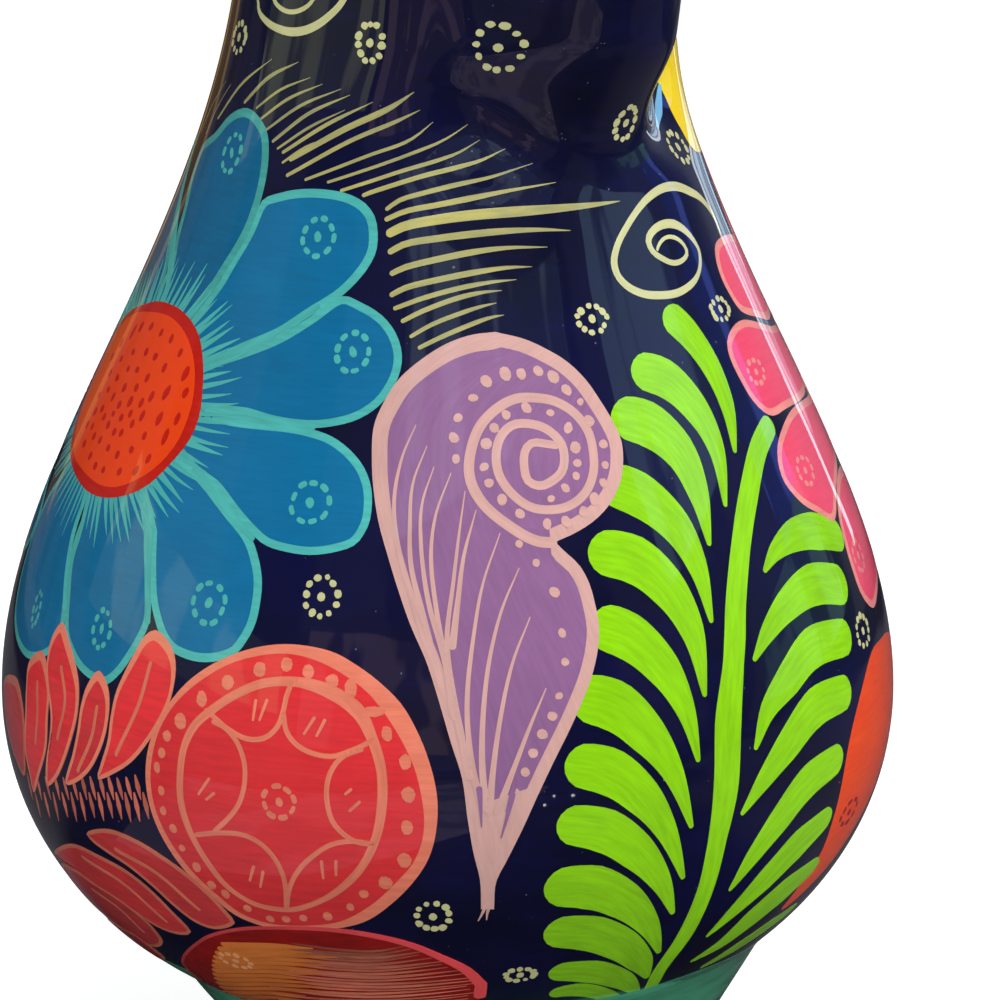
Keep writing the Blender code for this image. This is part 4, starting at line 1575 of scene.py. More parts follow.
PIXELS_PER_METRE = 4850.0
# Heading of the jug's side that faces the camera
SIGHT = VIEW_HEADING - math.pi / 2


def wide_of(pixels):
    """Breadth in metres of a brush line that is some pixels wide."""
    return np.asarray(pixels, float) / PIXELS_PER_METRE


def tapered(line, shares, pixels):
    """Breadths along a line, from their pixels at shares of its points."""
    return wide_of(np.interp(np.linspace(0, 1, len(line)), shares, pixels))


def widths_along(line, points, pixels):
    """Breadths along a line that was drawn through points whose pixels of breadth are known."""
    here, known = lengths(line), lengths(points)
    return wide_of(np.interp(here / here[-1], known / known[-1], pixels))


def with_widths(rows):
    """Chart spots and pixels of breadth of rows of x, y and pixels."""
    return spots([(x, y) for x, y, _ in rows]), np.array([pixels for *_, pixels in rows])


def stretched_at(heading, least):
    """How much wider a thing is than it looks where the jug turns away from the camera."""
    return 1 / max(math.cos(heading), least)


class JUG_OT_clay_body(bpy.types.Operator):
    """Throws the painted body with its pulled lip, and the bare clay lining inside it"""

    bl_idname = "jug.clay_body"
    bl_label = "Clay Body"

    def execute(self, context):
        make_painted_body(ground_paint())
        make_lining(bare_clay())
        return {"FINISHED"}


STRIP_TOP = 0.0437
STRIP_SWAY = 0.0006
STRIP_RIPPLE = 0.0004
STRIP_LOW_CLIMB = 0.004


class JUG_OT_ring_foot(bpy.types.Operator):
    """Makes the ring foot and the teal strip over it"""

    bl_idname = "jug.ring_foot"
    bl_label = "Ring Foot"

    def execute(self, context):
        teal = teal_paint()
        make_foot(teal)
        band = Coat("teal_strip", 11)
        ways = np.linspace(0, math.tau, 181)
        edge = STRIP_TOP + STRIP_SWAY * np.sin(5 * ways + 1) + STRIP_RIPPLE * np.sin(11 * ways)
        top = np.stack([ways, np.interp(edge, CHART_LINE[1:, 1], CHART_CLIMB[1:])], 1)
        low = np.stack([ways, np.full(len(ways), STRIP_LOW_CLIMB)], 1)
        band.band(low, top, level=2, across=24, step=0.002)
        band.finish(teal)
        return {"FINISHED"}


class JUG_OT_strap_handle(bpy.types.Operator):
    """Makes the pulled strap handle behind the neck"""

    bl_idname = "jug.strap_handle"
    bl_label = "Strap Handle"

    def execute(self, context):
        make_handle(bpy.data.materials["brushed teal"])
        return {"FINISHED"}


class JUG_OT_daisies(bpy.types.Operator):
    """Paints the two big daisies, blue on one side and pink on the other"""

    bl_idname = "jug.daisies"
    bl_label = "Daisies"

    def execute(self, context):
        colours = paints()
        looks = (
            ("blue", NEAR_SIDE, colours.turquoise, colours.blue, colours.turquoise),
            ("pink", FAR_SIDE, display(255, 146, 140), colours.pink, display(255, 150, 150)),
        )
        for name, turn, edge_colour, fill_colour, hair_colour in looks:
            self.flower(name, turn, edge_colour, fill_colour, hair_colour)
        return {"FINISHED"}

    def flower(self, name, turn, edge_colour, fill_colour, hair_colour):
        colours = paints()
        edges = Coat(f"{name}_petal_edges", 21)
        fills = Coat(f"{name}_petals", 22)
        hairs = Coat(f"{name}_petal_hairs", 23)
        heart = Coat(f"{name}_heart", 24)
        rim = Coat(f"{name}_heart_rim", 25)
        petals = [turned_on(spots(petal), turn) for petal in DAISY_PETALS]
        petals += [turned_on(spots(petal), turn - FAR_SIDE) for petal in FAR_PETALS]
        rim_line = closed_line(DAISY_RIM, 72, turn)
        for k, petal in enumerate(petals):
            outline = loop_of(petal, PETAL_POINTS)
            over = 0.5 * (k % 2)
            # The two upper petals get the deep tint as painted shade, where less light falls; the others
            # take a tone that differs at random
            shade = (0.05, 0.15)[k] if k < 2 else edges.chance.uniform(0.45, 0.75)
            edges.patch(drawn_under(outline, rim_line), level=1 + over, tint=shade)
            inner = inside(outline, BORDER * edges.chance.uniform(0.9, 1.1))
            fills.patch(drawn_under(inner, rim_line), level=2.2 + over, tint=shade)
        fills.patch(inside(rim_line, -UNDER_HEART), level=0.5, tint=0.4)
        heart_line = closed_line(DAISY_HEART, 64, turn)
        rim.patch(rim_line, level=4)
        heart.patch(heart_line, level=5)
        for first, last, *joint in DAISY_JOINTS:
            points = brush_line(joint, turn)
            edges.stroke(points, wide_of(np.linspace(first, last, len(points))), 1.9)
        self.rim_hairs(hairs, rim_line)
        for x, y, tall in HEART_DOTS:
            where = turned_on(spot(x, y), turn)
            wide = HEART_DOT_WIDTH + rim.chance.uniform(-HEART_DOT_SPREAD, HEART_DOT_SPREAD)
            rim.dot(where, wide, wide_of(tall) * 1.2, 6, turn=rim.chance.uniform(-0.35, -0.05), sides=8)
        for x, y, wide, tall in DAISY_ROSETTES:
            rosette(hairs, turned_on(spot(x, y), turn), wide_of(wide), wide_of(tall), 3, 9)
        for x, y, tall in FAR_ROSETTES:
            middle = turned_on(spot(x, y), turn - FAR_SIDE)
            rosette(hairs, middle, FAR_ROSETTE_WIDTH, wide_of(tall), 3, 9)
        edges.finish(paint(f"{name} petal edge", *shades(edge_colour, 1.15, 0.7)))
        fills.finish(paint(f"{name} petal", *shades(fill_colour, 1.12, 0.74), streak=0.35))
        hairs.finish(paint(f"{name} fine hairs", *shades(hair_colour, 1.1, 0.75)))
        heart.finish(paint(f"{name} heart", *shades(colours.flame, 1.2, 0.95), streak=0.3))
        rim.finish(paint(f"{name} heart rim", display(226, 30, 4), display(176, 10, 6), streak=0.3))

    def rim_hairs(self, hairs, rim_line):
        """Fine hairs all round the heart, drawn outwards and bent a little by the hand."""
        middle = rim_line.mean(0)
        for k in range(HAIR_COUNT):
            share = (k + hairs.chance.uniform(-0.25, 0.25)) / HAIR_COUNT
            start = along(np.concatenate([rim_line, rim_line[:1]]), [share % 1.0])[0]
            way = (start - middle) * [girth(start[1]), 1.0]
            way /= np.hypot(*way)
            long = hairs.chance.uniform(*HAIR_LENGTHS)
            bend = hairs.chance.uniform(-HAIR_BEND, HAIR_BEND)
            side = np.array([-way[1], way[0]])
            steps = [start - way * HAIR_ROOT / [girth(start[1]), 1.0]]
            for part in (0.5, 1.0):
                move = way * long * part + side * bend * part * part
                steps.append(start + move / [girth(start[1]), 1.0])
            line = flowing(steps, fineness=3)
            base = hairs.chance.uniform(*HAIR_BREADTHS)
            widths = base * np.linspace(1, 0.05, len(line)) ** 0.8
            hairs.stroke(line, widths, 3, capped=(False, False), across=2, step=0.003)


def drawn_under(outline, rim_line):
    """Draws the inner end of a petal's outline on under the heart."""
    middle = rim_line.mean(0)
    scale = np.array([girth(middle[1]), 1.0])
    rim = (rim_line - middle) * scale
    ways = np.arctan2(rim[:, 1], rim[:, 0])
    order = np.argsort(ways)
    away = (outline - middle) * scale
    here = np.arctan2(away[:, 1], away[:, 0])
    rim_there = np.interp(here, ways[order], np.hypot(rim[:, 0], rim[:, 1])[order], period=math.tau)
    share = np.hypot(away[:, 0], away[:, 1]) / rim_there
    drawn = np.where(share < NEAR_HEART, share - 1.1 * (NEAR_HEART - share), share)
    return middle + away * (drawn / share)[:, None] / scale


def rosette(coat, middle, wide, tall, level, count, dash=0.72, line=0.0012):
    """A ring of short dashes round a dab."""
    middle = np.asarray(middle, float)
    scale = girth(middle[1])
    start = coat.chance.uniform(0, 1)
    for k in range(count):
        way = (k + start + coat.chance.uniform(-0.12, 0.12)) / count * math.tau
        half = dash * math.pi / count
        arc = np.array([way - half, way, way + half])
        ring = coat.chance.uniform(0.94, 1.06)
        x = np.cos(arc) * wide / 2 * 0.88 * ring / scale
        y = np.sin(arc) * tall / 2 * 0.88 * ring
        points = middle + np.stack([x, y], 1)
        coat.stroke(points, line * coat.chance.uniform(0.85, 1.2), level, step=0.0012)
    coat.dot(middle, wide * 0.2, tall * 0.26, level, turn=coat.chance.uniform(-0.5, 0.5))


def dotted_rosette(coat, middle, wide, tall, level, count, dot=0.0015):
    """A ring of round dots round a dot."""
    middle = np.asarray(middle, float)
    scale = girth(middle[1])
    start = coat.chance.uniform(0, 1)
    for k in range(count):
        way = (k + start + coat.chance.uniform(-0.15, 0.15)) / count * math.tau
        ring = coat.chance.uniform(0.93, 1.07)
        x = math.cos(way) * wide / 2 * 0.82 * ring / scale
        y = math.sin(way) * tall / 2 * 0.82 * ring
        size = dot * coat.chance.uniform(0.8, 1.2)
        coat.dot(middle + np.array([x, y]), size, size * coat.chance.uniform(0.85, 1.3), level, turn=way)
    coat.dot(middle, dot * 1.15, dot * 1.3, level)


class JUG_OT_cream_fans(bpy.types.Operator):
    """Paints the fans of cream strokes, each pulled from a full brush to a fine point"""

    bl_idname = "jug.cream_fans"
    bl_label = "Cream Fans"

    def execute(self, context):
        cream = paints().cream
        for name, turn in (("near", NEAR_SIDE), ("far", FAR_SIDE)):
            fan = Coat(f"{name}_fan", 31)
            for wide, *line in FAN:
                points = flowing(turned_on(spots(line), turn), fineness=8)
                shares = np.linspace(0, 1, len(points))
                body = wide_of(wide) * (0.86 + 0.14 * np.sin(shares * math.pi))
                widths = body * np.clip((1 - shares) / 0.42, 0, 1) ** 0.6
                # A wide stroke carries more paint; strokes that start high on the neck get a deeper tint,
                # painted shade where less light falls
                load_and_shade = 0.75 if wide > 9 else 0.5
                load_and_shade *= 0.45 if line[0][1] < 150 else 1.0
                fan.stroke(points, np.maximum(widths, 0.0001), 1, (load_and_shade, 0.2), across=5)
            yellowed = (cream[0] * 0.86, cream[1] * 0.78, cream[2] * 0.44)
            fan.finish(paint(f"{name} fan cream", yellowed, tinted(cream, 0.42), streak=0.5))
        return {"FINISHED"}


class JUG_OT_paisleys(bpy.types.Operator):
    """Paints the tall paisleys with their spirals, dots and hanging lines"""

    bl_idname = "jug.paisleys"
    bl_label = "Paisleys"

    def execute(self, context):
        colours = paints()
        looks = (
            ("purple", NEAR_SIDE, colours.mauve, colours.purple),
            ("green", FAR_SIDE, colours.turquoise, display(24, 112, 96)),
        )
        for name, turn, edge_colour, fill_colour in looks:
            edge = Coat(f"{name}_paisley_edge", 41)
            fill = Coat(f"{name}_paisley", 42)
            lines = Coat(f"{name}_paisley_lines", 43)
            self.lay_out(edge, fill, lines, turn)
            edge.finish(paint(f"{name} paisley edge", *shades(edge_colour, 1.08, 0.82)))
            fill.finish(paint(f"{name} paisley", *shades(fill_colour, 1.1, 0.82)))
            lines.finish(paint(f"{name} paisley lines", *shades(edge_colour, 1.1, 0.8)))
        return {"FINISHED"}

    def lay_out(self, edge, fill, lines, turn):
        left = brush_line(PAISLEY_LEFT, turn)
        head = brush_line(PAISLEY_HEAD, turn)
        body = brush_line(PAISLEY_BODY, turn)
        long = lengths(left)
        cut = np.searchsorted(long, long[-1] * WAIST_SHARE)
        edge.band(left[: cut + 1], head, level=3, across=26)
        edge.band(left[cut:], body, level=3, across=18)
        rim = wide_of(14.5)
        inner_left = beside(left, rim * np.clip(np.linspace(1.25, 0.75, len(left)), 0, 2))
        inner_head = beside(head, -wide_of(14))
        inner_body = beside(body, -wide_of(13))
        fill.band(inner_left[3 : cut + 1], inner_head[3:], level=4, across=24)
        low = int(len(inner_body) * TAIL_SHARE)
        low_left = cut + int((len(left) - cut) * TAIL_SHARE)
        inner_body = np.concatenate([inner_head[-1:], inner_body[6:low]])
        fill.band(inner_left[cut:low_left], inner_body, level=4, across=16)
        spiral = brush_line(PAISLEY_SPIRAL, turn, 6)
        lines.stroke(spiral, tapered(spiral, (0, 0.4, 0.8, 1), (11, 9, 9, 8)), 5, step=0.0012)
        for pixel in PAISLEY_DOTS:
            size = wide_of(lines.chance.uniform(8, 12))
            tall = size * lines.chance.uniform(0.8, 1.35)
            where = turned_on(spot(*pixel), turn)
            lines.dot(where, size, tall, 6, turn=lines.chance.uniform(-0.8, 0.8))
        for line in PAISLEY_LINES:
            points = brush_line(line, turn, 7)
            widths = tapered(points, (0, 0.3, 0.7, 1), (1.1, 3.4, 5.4, 8.0))
            lines.stroke(points, widths, 5, capped=(False, True))
        for slit in PAISLEY_SLITS:
            points = brush_line(slit, turn)
            fill.stroke(points, wide_of(np.linspace(6.5, 1.2, len(points))), 7)
        for drip in PAISLEY_DRIPS:
            points = brush_line(drip, turn)
            edge.stroke(points, wide_of(np.linspace(4.0, 1.0, len(points))), 2.5, 0.1)


class JUG_OT_ferns(bpy.types.Operator):
    """Paints the lime ferns: a thick stem and pulled leaves on both sides of it"""

    bl_idname = "jug.ferns"
    bl_label = "Ferns"

    def execute(self, context):
        lime = paints().lime
        looks = (("lime", NEAR_SIDE, lime), ("blue", FAR_SIDE, display(40, 150, 214)))
        for name, turn, shade in looks:
            fern = Coat(f"{name}_fern", 51)
            stem, stem_widths = with_widths(FERN_STEM)
            stem = np.concatenate([stem, [place(*FERN_FOOT)]])
            line = turned_on(flowing(stem, fineness=8), turn)
            widths = widths_along(line, turned_on(stem, turn), [*stem_widths, FERN_FOOT_PIXELS])
            fern.stroke(line, widths, 1, 0.5, across=7)
            for widths, *leaf in FERN_LEAVES:
                points = brush_line(leaf, turn, 8)
                shares = np.linspace(0, 1, len(widths))
                wide = np.interp(np.linspace(0, 1, len(points)), shares, wide_of(widths))
                # Leaves low on the belly get a deeper tint: painted shade where the belly turns under,
                # away from the light
                low = 0.3 * eased((leaf[0][1] - 820) / 120)
                fern.stroke(points, wide, 1, (0.62 - low, 0.42 - low), across=7)
            fern.finish(paint(f"{name} fern", *shades(shade, 1.08, 0.66), streak=0.5))
        return {"FINISHED"}


class JUG_OT_round_flowers(bpy.types.Operator):
    """Paints the round flowers, with their dotted border and six-lobed star"""

    bl_idname = "jug.round_flowers"
    bl_label = "Round Flowers"

    def execute(self, context):
        colours = paints()
        looks = (
            ("crimson", NEAR_SIDE, colours.salmon, colours.crimson),
            ("blue", FAR_SIDE, colours.sky, display(28, 66, 168)),
        )
        for name, turn, edge_colour, fill_colour in looks:
            edge = Coat(f"{name}_round_edge", 61)
            fill = Coat(f"{name}_round_flower", 62)
            lines = Coat(f"{name}_round_lines", 63)
            self.lay_out(edge, fill, lines, turn)
            edge.finish(paint(f"{name} round edge", *shades(edge_colour, 1.1, 0.7)))
            fill.finish(paint(f"{name} round flower", *shades(fill_colour, 1.2, 0.55), streak=0.25))
            lines.finish(paint(f"{name} round lines", *shades(edge_colour, 1.1, 0.62)))
        return {"FINISHED"}

    def lay_out(self, edge, fill, lines, turn):
        edge.patch(closed_line(ROUND_RIM, ROUND_POINTS, turn), 3, self.darker_below)
        fill.patch(closed_line(ROUND_FILL, ROUND_POINTS, turn), 4, self.darker_below)
        middle = turned_on(spot(*ROUND_MIDDLE), turn)
        for x, y, wide, tall in ROUND_DOTS:
            where = turned_on(spot(x, y), turn)
            # Dots, ring, arcs and ticks deepen downwards with the same painted shade
            shade = 0.5 + (where[1] - middle[1]) * DEEPENING
            stretch = stretched_at(where[0] - turned_on((SIGHT, 0.0), turn)[0], 0.35)
            lines.dot(where, wide_of(wide) * stretch, wide_of(tall), 5, shade, turn=0.1)
        ring, ring_widths = with_widths(ROUND_RING)
        line = turned_on(loop_of(ring, RING_POINTS), turn)
        knots = np.arange(RING_POINTS) / RING_POINTS * len(ring)
        widths = wide_of(np.interp(knots, np.arange(len(ring) + 1), [*ring_widths, ring_widths[0]]))
        shade = 0.5 + (line[:, 1] - middle[1]) * DEEPENING
        outer = beside(line, widths / 2, closed=True)
        inner = beside(line, -widths / 2, closed=True)
        lines.loop(outer, inner, 5, shade)
        for arc in ROUND_ARCS:
            points = brush_line(arc, turn, 6)
            ends = 0.5 + (points[[0, -1], 1] - middle[1]) * DEEPENING
            lines.stroke(points, wide_of(5.2), 5, tuple(ends), step=0.0013)
        for tick in ROUND_TICKS:
            points = turned_on(spots(tick), turn)
            shade = 0.5 + (points[0, 1] - middle[1]) * DEEPENING
            lines.stroke(points, wide_of((3.6, 2.6)), 5, shade)
        rosette(lines, middle, wide_of(38), wide_of(36), 5, 8, dash=0.8, line=0.0011)

    def darker_below(self, flat):
        """Tints of a filling, deeper downwards and to the left: painted shade."""
        return 0.55 + flat[:, 1] * DEEPENING - np.clip(-flat[:, 0], 0, 1) * 3


class JUG_OT_leaf_clusters(bpy.types.Operator):
    """Paints the crimson leaves and the short pink grass between them"""

    bl_idname = "jug.leaf_clusters"
    bl_label = "Leaf Clusters"

    touch_widths = np.concatenate([np.linspace(2, 7, 10), np.linspace(7, 1, 11)])

    def execute(self, context):
        colours = paints()
        looks = (
            ("crimson", NEAR_SIDE, colours.salmon, colours.crimson, display(160, 50, 52)),
            ("violet", FAR_SIDE, colours.mauve, display(140, 50, 168), display(84, 34, 104)),
        )
        for name, turn, edge_colour, fill_colour, deep_colour in looks:
            edge = Coat(f"{name}_leaf_edges", 71)
            fill = Coat(f"{name}_leaves", 72)
            lines = Coat(f"{name}_leaf_veins", 73)
            for k, (leaf, vein) in enumerate(zip(LEAVES, LEAF_VEINS)):
                outline = closed_line(leaf, 56, turn)
                upper = leaf[0][1] < 800
                level = 3 + 1.2 * (k % 3)
                # Upper leaves get the light tint, painted light; the lower leaves get the deep tint,
                # painted shade, and so does the leaf at the left edge, a painted dark reflection
                lit = upper and leaf is not LEAVES[4]
                edge.patch(outline, level, (0.85 if lit else 0.3) + edge.chance.uniform(-0.1, 0.15))
                inner = inside(outline, wide_of(4.6))
                if upper:
                    inner[:, 1] -= wide_of(6) * eased((inner[:, 1] - inner[:, 1].mean()) / 0.012)
                shade = 0.75 if lit else 0.35
                fill.patch(inner, level + 1, shade + fill.chance.uniform(-0.15, 0.15))
                if vein:
                    lines.stroke(brush_line(vein, turn), wide_of(4.5), level + 2, 0.3 + shade * 0.5)
            self.grass(lines, turn)
            edge.finish(paint(f"{name} leaf edge", *shades(edge_colour, 1.1, 0.5), streak=0.2))
            fill.finish(paint(f"{name} leaf", tinted(fill_colour, 1.1), deep_colour, streak=0.35))
            lines.finish(paint(f"{name} leaf vein", *shades(edge_colour, 0.95, 0.5)))
        return {"FINISHED"}

    def grass(self, lines, turn):
        """Zigzag touches of a small brush under the leaves."""
        for k, x in enumerate(GRASS):
            jump = lines.chance.uniform(-3, 3)
            for high, low in ((775 + jump, 800), (792, 820 + jump)):
                lean = 4 if high > 790 else -4
                pixels = ((x + lean - 3, high), (x + lean, (high + low) / 2), (x + lean + 3, low))
                touch, shade = brush_line(pixels, turn), 0.15 + 0.25 * (k % 2)
                lines.stroke(touch, wide_of(self.touch_widths), 1 + (k % 2) / 2, shade)


class JUG_OT_low_flowers(bpy.types.Operator):
    """Paints the half flowers that stand on the teal strip, dry-brushed in dark red"""

    bl_idname = "jug.low_flowers"
    bl_label = "Low Flowers"

    def execute(self, context):
        looks = (
            ("red", NEAR_SIDE, display(172, 4, 4), display(250, 80, 86), display(228, 126, 50),
             display(240, 132, 104), display(250, 176, 120)),
            ("gold", FAR_SIDE, display(196, 110, 8), display(255, 206, 70), display(222, 92, 30),
             display(250, 190, 90), display(255, 214, 130)),
        )
        for name, turn, fill_colour, edge_colour, core_colour, streak_colour, mark_colour in looks:
            fill = Coat(f"{name}_low_flower", 82)
            edge = Coat(f"{name}_low_edge", 81)
            core = Coat(f"{name}_low_middle", 83)
            streaks = Coat(f"{name}_low_streaks", 84)
            marks = Coat(f"{name}_low_rosette", 85)
            top = flowing(spots(LOW_FLOWER))
            side = flowing(spots(LOW_FLOWER_SIDE))
            floor = place(0, LOW_FLOWER_DEPTH_MM)[1]
            run = np.linspace(side[-1][0], top[-1][0], 14)[1:]
            base = np.concatenate([side, np.stack([run, np.full(len(run), floor)], 1)])
            fill.band(turned_on(top, turn), turned_on(base, turn), level=3.2, across=16, step=0.002)
            lower_end = top[-1:] - [0.0, 0.006]
            border = turned_on(np.concatenate([side[::-1], top[1:], lower_end]), turn)
            widths = tapered(border, (0.0, 0.6, 0.85, 1.0), (3.0, 4.0, 8.0, 13.0))
            edge.stroke(border, widths, 5.5, (0.0, 1.0), across=4, step=0.002)
            self.dry_brush(core, streaks, turn)
            x, y, wide, tall = LOW_ROSETTE
            middle = turned_on(spot(x, y), turn)
            rosette(marks, middle, wide_of(wide), wide_of(tall), 7.5, 10, line=0.0013)
            fill.finish(paint(f"{name} low flower", fill_colour, tinted(fill_colour, 0.5), streak=0.7))
            edge.finish(paint(f"{name} low edge", edge_colour, tinted(edge_colour, 0.35), streak=0.3))
            core.finish(paint(f"{name} low middle", core_colour, tinted(core_colour, 0.6), streak=0.6))
            streaks.finish(paint(f"{name} low streaks", streak_colour, tinted(streak_colour, 0.3)))
            marks.finish(paint(f"{name} low rosette", mark_colour, tinted(mark_colour, 0.8)))
        return {"FINISHED"}

    def dry_brush(self, core, streaks, turn):
        """Rows of strokes with a nearly dry brush, that run out of the middle towards the right."""
        for k in range(14):
            y = 944 + 4.3 * k
            left = 240 - 27 * math.sqrt(max(0.0, 1 - ((y - 966) / 30) ** 2))
            right = 300 + core.chance.uniform(0, 42)
            row = flowing(spots(((left, y), (270, y + 1), (right, y + 4))))
            widths = tapered(row, (0.0, 0.7, 1.0), (7.8, 6.6, 1.5))
            core.stroke(turned_on(row, turn), widths, 5.5 + (k % 2) / 2, (0.95, 0.45), step=0.002)
        for k in range(18):
            deep = k / 17
            start = (284 - 18 * deep + streaks.chance.uniform(-8, 14), 943 + 56 * deep)
            end = (404 + 72 * min(1.0, deep * 1.8) + streaks.chance.uniform(-14, 6), 945 + 53 * deep)
            row = flowing(spots((start, (372, 951 + 55 * deep), end)))
            shares = np.linspace(0, 1, len(row))
            widths = wide_of(0.5 + (3.0 + 1.3 * (k % 3)) * np.sin(shares**0.7 * math.pi))
            shade = (0.05 + 0.7 * min(1.0, deep * 1.5), 0.02 + 0.83 * min(1.0, deep * 1.2))
            streaks.stroke(turned_on(row, turn), widths, 4.4 + (k % 2) / 2, shade, step=0.002)


class JUG_OT_side_petals(bpy.types.Operator):
    """Paints the orange petals, the yellow petals by the lip and the blue dab next to them"""

    bl_idname = "jug.side_petals"
    bl_label = "Side Petals"

    def execute(self, context):
        colours = paints()
        orange = Coat("orange_side_petals", 91)
        yellow = Coat("yellow_neck_petals", 92)
        sky = Coat("sky_dabs", 93)
        marks = Coat("orange_petal_marks", 94)
        for turn in (NEAR_SIDE, FAR_SIDE):
            orange.patch(closed_line(SIDE_PETAL, 96, turn), 1)
            beside_handle = turn * NECK_PETAL_TURN
            lip_petal = np.array(NECK_PETAL) * [math.radians(1), 0.001]
            yellow.patch(turned_on(loop_of(lip_petal, 96), beside_handle), 2, step=0.0011)
            dab = brush_line(NECK_DAB, beside_handle)
            sky.stroke(dab, tapered(dab, (0, 0.6, 1), (6, 16, 5)), 2.5, across=9, step=0.0011)
            x, y, tall = SIDE_ROSETTE
            rosette(marks, turned_on(spot(x, y), turn), SIDE_ROSETTE_WIDTH, wide_of(tall), 2, 8)
        orange.finish(paint("orange petal", display(255, 88, 0), display(238, 50, 0)))
        yellow.finish(paint("yellow petal", colours.yellow, display(250, 204, 0), streak=0.3))
        sky.finish(paint("sky dab", *shades(colours.sky, 1.1, 0.7)))
        marks.finish(paint("orange petal marks", *shades(colours.red, 0.9, 0.5)))
        return {"FINISHED"}


class JUG_OT_spirals(bpy.types.Operator):
    """Paints the cream spirals and dotted rosettes between the flowers"""

    bl_idname = "jug.spirals"
    bl_label = "Spirals and Rosettes"

    def execute(self, context):
        cream = paints().cream
        for name, turn in (("near", NEAR_SIDE), ("far", FAR_SIDE)):
            coat = Coat(f"{name}_cream_spirals", 101)
            for spiral in (OPEN_SPIRAL, TOP_SPIRAL):
                points, widths = with_widths(spiral)
                line = flowing(points, fineness=5)
                widths = widths_along(line, points, widths)
                coat.stroke(turned_on(line, turn), widths, 1, across=4, step=0.0011)
            for x, y, wide, tall in CREAM_ROSETTES:
                middle = turned_on(spot(x, y), turn)
                stretch = stretched_at(spot(x, y)[0] - SIGHT, 0.4)
                dotted_rosette(coat, middle, wide_of(wide) * stretch, wide_of(tall), 1, 11)
            coat.finish(paint(f"{name} spiral cream", *shades(cream, 0.98, 0.7)))
        fringe = Coat("cream_rim_touches", 102)
        for k in range(RIM_TOUCHES):
            heading = (k + fringe.chance.uniform(-0.12, 0.12)) / RIM_TOUCHES * math.tau
            high = TOP_CLIMB - fringe.chance.uniform(*RIM_TOUCH_GAPS)
            low = high - fringe.chance.uniform(*RIM_TOUCH_LENGTHS)
            touch = np.array([[heading, high], [heading, low]])
            fringe.stroke(touch, RIM_TOUCH_WIDTHS, 1, (0.7, 0.3), (True, False), step=0.0012)
        fringe.finish(paint("rim touch cream", *shades(cream, 0.98, 0.7)))
        return {"FINISHED"}


# Stage

FLOOR_SIZE = 12.0
FLOOR_GLOW = 0.78
LAMP_AIM = 0.16
# Lamps: name, place across the view, towards the camera and up, size, and share of the fill light
LAMPS = (
    ("key", (0.35, 1.1, 1.45), (1.2, 1.2), 1.0),
    ("left", (-1.3, 0.5, 0.8), (0.8, 1.2), 1.0),
    ("right", (1.35, 0.2, 0.8), (0.8, 1.2), 2.4),
    ("back", (0.0, -1.2, 1.2), (1.4, 1.0), 1.0),
)
ROOM_RADIUS = 1.7
ROOM_LOW = 0.0008
ROOM_HIGH = 2.6
PANEL_CLEAR = 0.03
GLINT_RADIUS = 0.003

# What stands along the wall of the room: name, heading and breadth in degrees, low, high and glow
PANELS = (
    ("tall_window", 106.0, 2.4, 0.01, 0.60, (2.3, 2.5, 2.8)),
    ("white_curtain", 121.0, 26.0, 0.12, 0.62, (1.35, 1.75, 2.20)),
    ("blue_window", 76.5, 15.0, 0.30, 0.82, (0.24, 0.40, 1.75)),
    ("green_curtain", 68.0, 40.0, 0.06, 0.40, (0.22, 0.44, 0.38)),
    ("slate_board", 44.0, 40.0, 0.74, 1.20, (0.50, 0.76, 1.05)),
    ("pale_ceiling_end", -22.0, 64.0, 1.16, 2.10, (0.60, 0.76, 0.95)),
    ("olive_curtain", -112.0, 66.0, 0.28, 0.60, (0.72, 0.78, 0.42)),
    ("wooden_board", 163.0, 32.0, 0.02, 0.70, (0.46, 0.28, 0.11)),
    ("brown_door", -53.0, 42.0, 0.10, 0.74, (0.50, 0.34, 0.37)),
)
FLOOR_CARDS = (("brown_cloth", 0.30, -0.34, 0.76, 0.34, (0.42, 0.34, 0.42)),)
CARD_HEIGHT = 0.002
GLINTS = (
    (0.995, -0.243, 1.225),
    (0.508, -0.122, 0.004),
    (0.421, -0.124, 0.004),
    (0.513, -0.084, 0.004),
)


def make_camera():
    data = bpy.data.cameras.new("view")
    data.sensor_width = SENSOR_MM
    data.lens = FOCAL_PIXELS / FRAME_PIXELS * SENSOR_MM
    data.clip_start = 0.01
    data.clip_end = 100.0
    camera = bpy.data.objects.new("view", data)
    camera.location = EYE
    camera.rotation_mode = "QUATERNION"
    camera.rotation_quaternion = (-SIGHT_BACK).to_track_quat("-Z", "Y")
    bpy.context.scene.collection.objects.link(camera)
    bpy.context.scene.camera = camera


def seen_rays(tree):
    """1 for rays that show the background: from the camera, a reflection or through glass."""
    path = tree.nodes.new("ShaderNodeLightPath")
    total = path.outputs["Is Camera Ray"]
    for name in ("Is Glossy Ray", "Is Transmission Ray"):
        node = add(tree, "ShaderNodeMath", operation="MAXIMUM")
        tree.links.new(total, node.inputs[0])
        tree.links.new(path.outputs[name], node.inputs[1])
        total = node.outputs[0]
    return total


def make_world():
    """Even light from the room, and a white background."""
    world = bpy.data.worlds.new("pale room")
    world.use_nodes = True
    bpy.context.scene.world = world
    tree = world.node_tree
    tree.nodes.clear()
    lit = add(tree, "ShaderNodeBackground", Color=(1.0, 1.0, 1.0, 1.0), Strength=studio().sky)
    shown = add(tree, "ShaderNodeBackground", Color=(1.0, 1.0, 1.0, 1.0), Strength=1.0)
    mix = tree.nodes.new("ShaderNodeMixShader")
    out = tree.nodes.new("ShaderNodeOutputWorld")
    tree.links.new(seen_rays(tree), mix.inputs[0])
    tree.links.new(lit.outputs[0], mix.inputs[1])
    tree.links.new(shown.outputs[0], mix.inputs[2])
    tree.links.new(mix.outputs[0], out.inputs["Surface"])


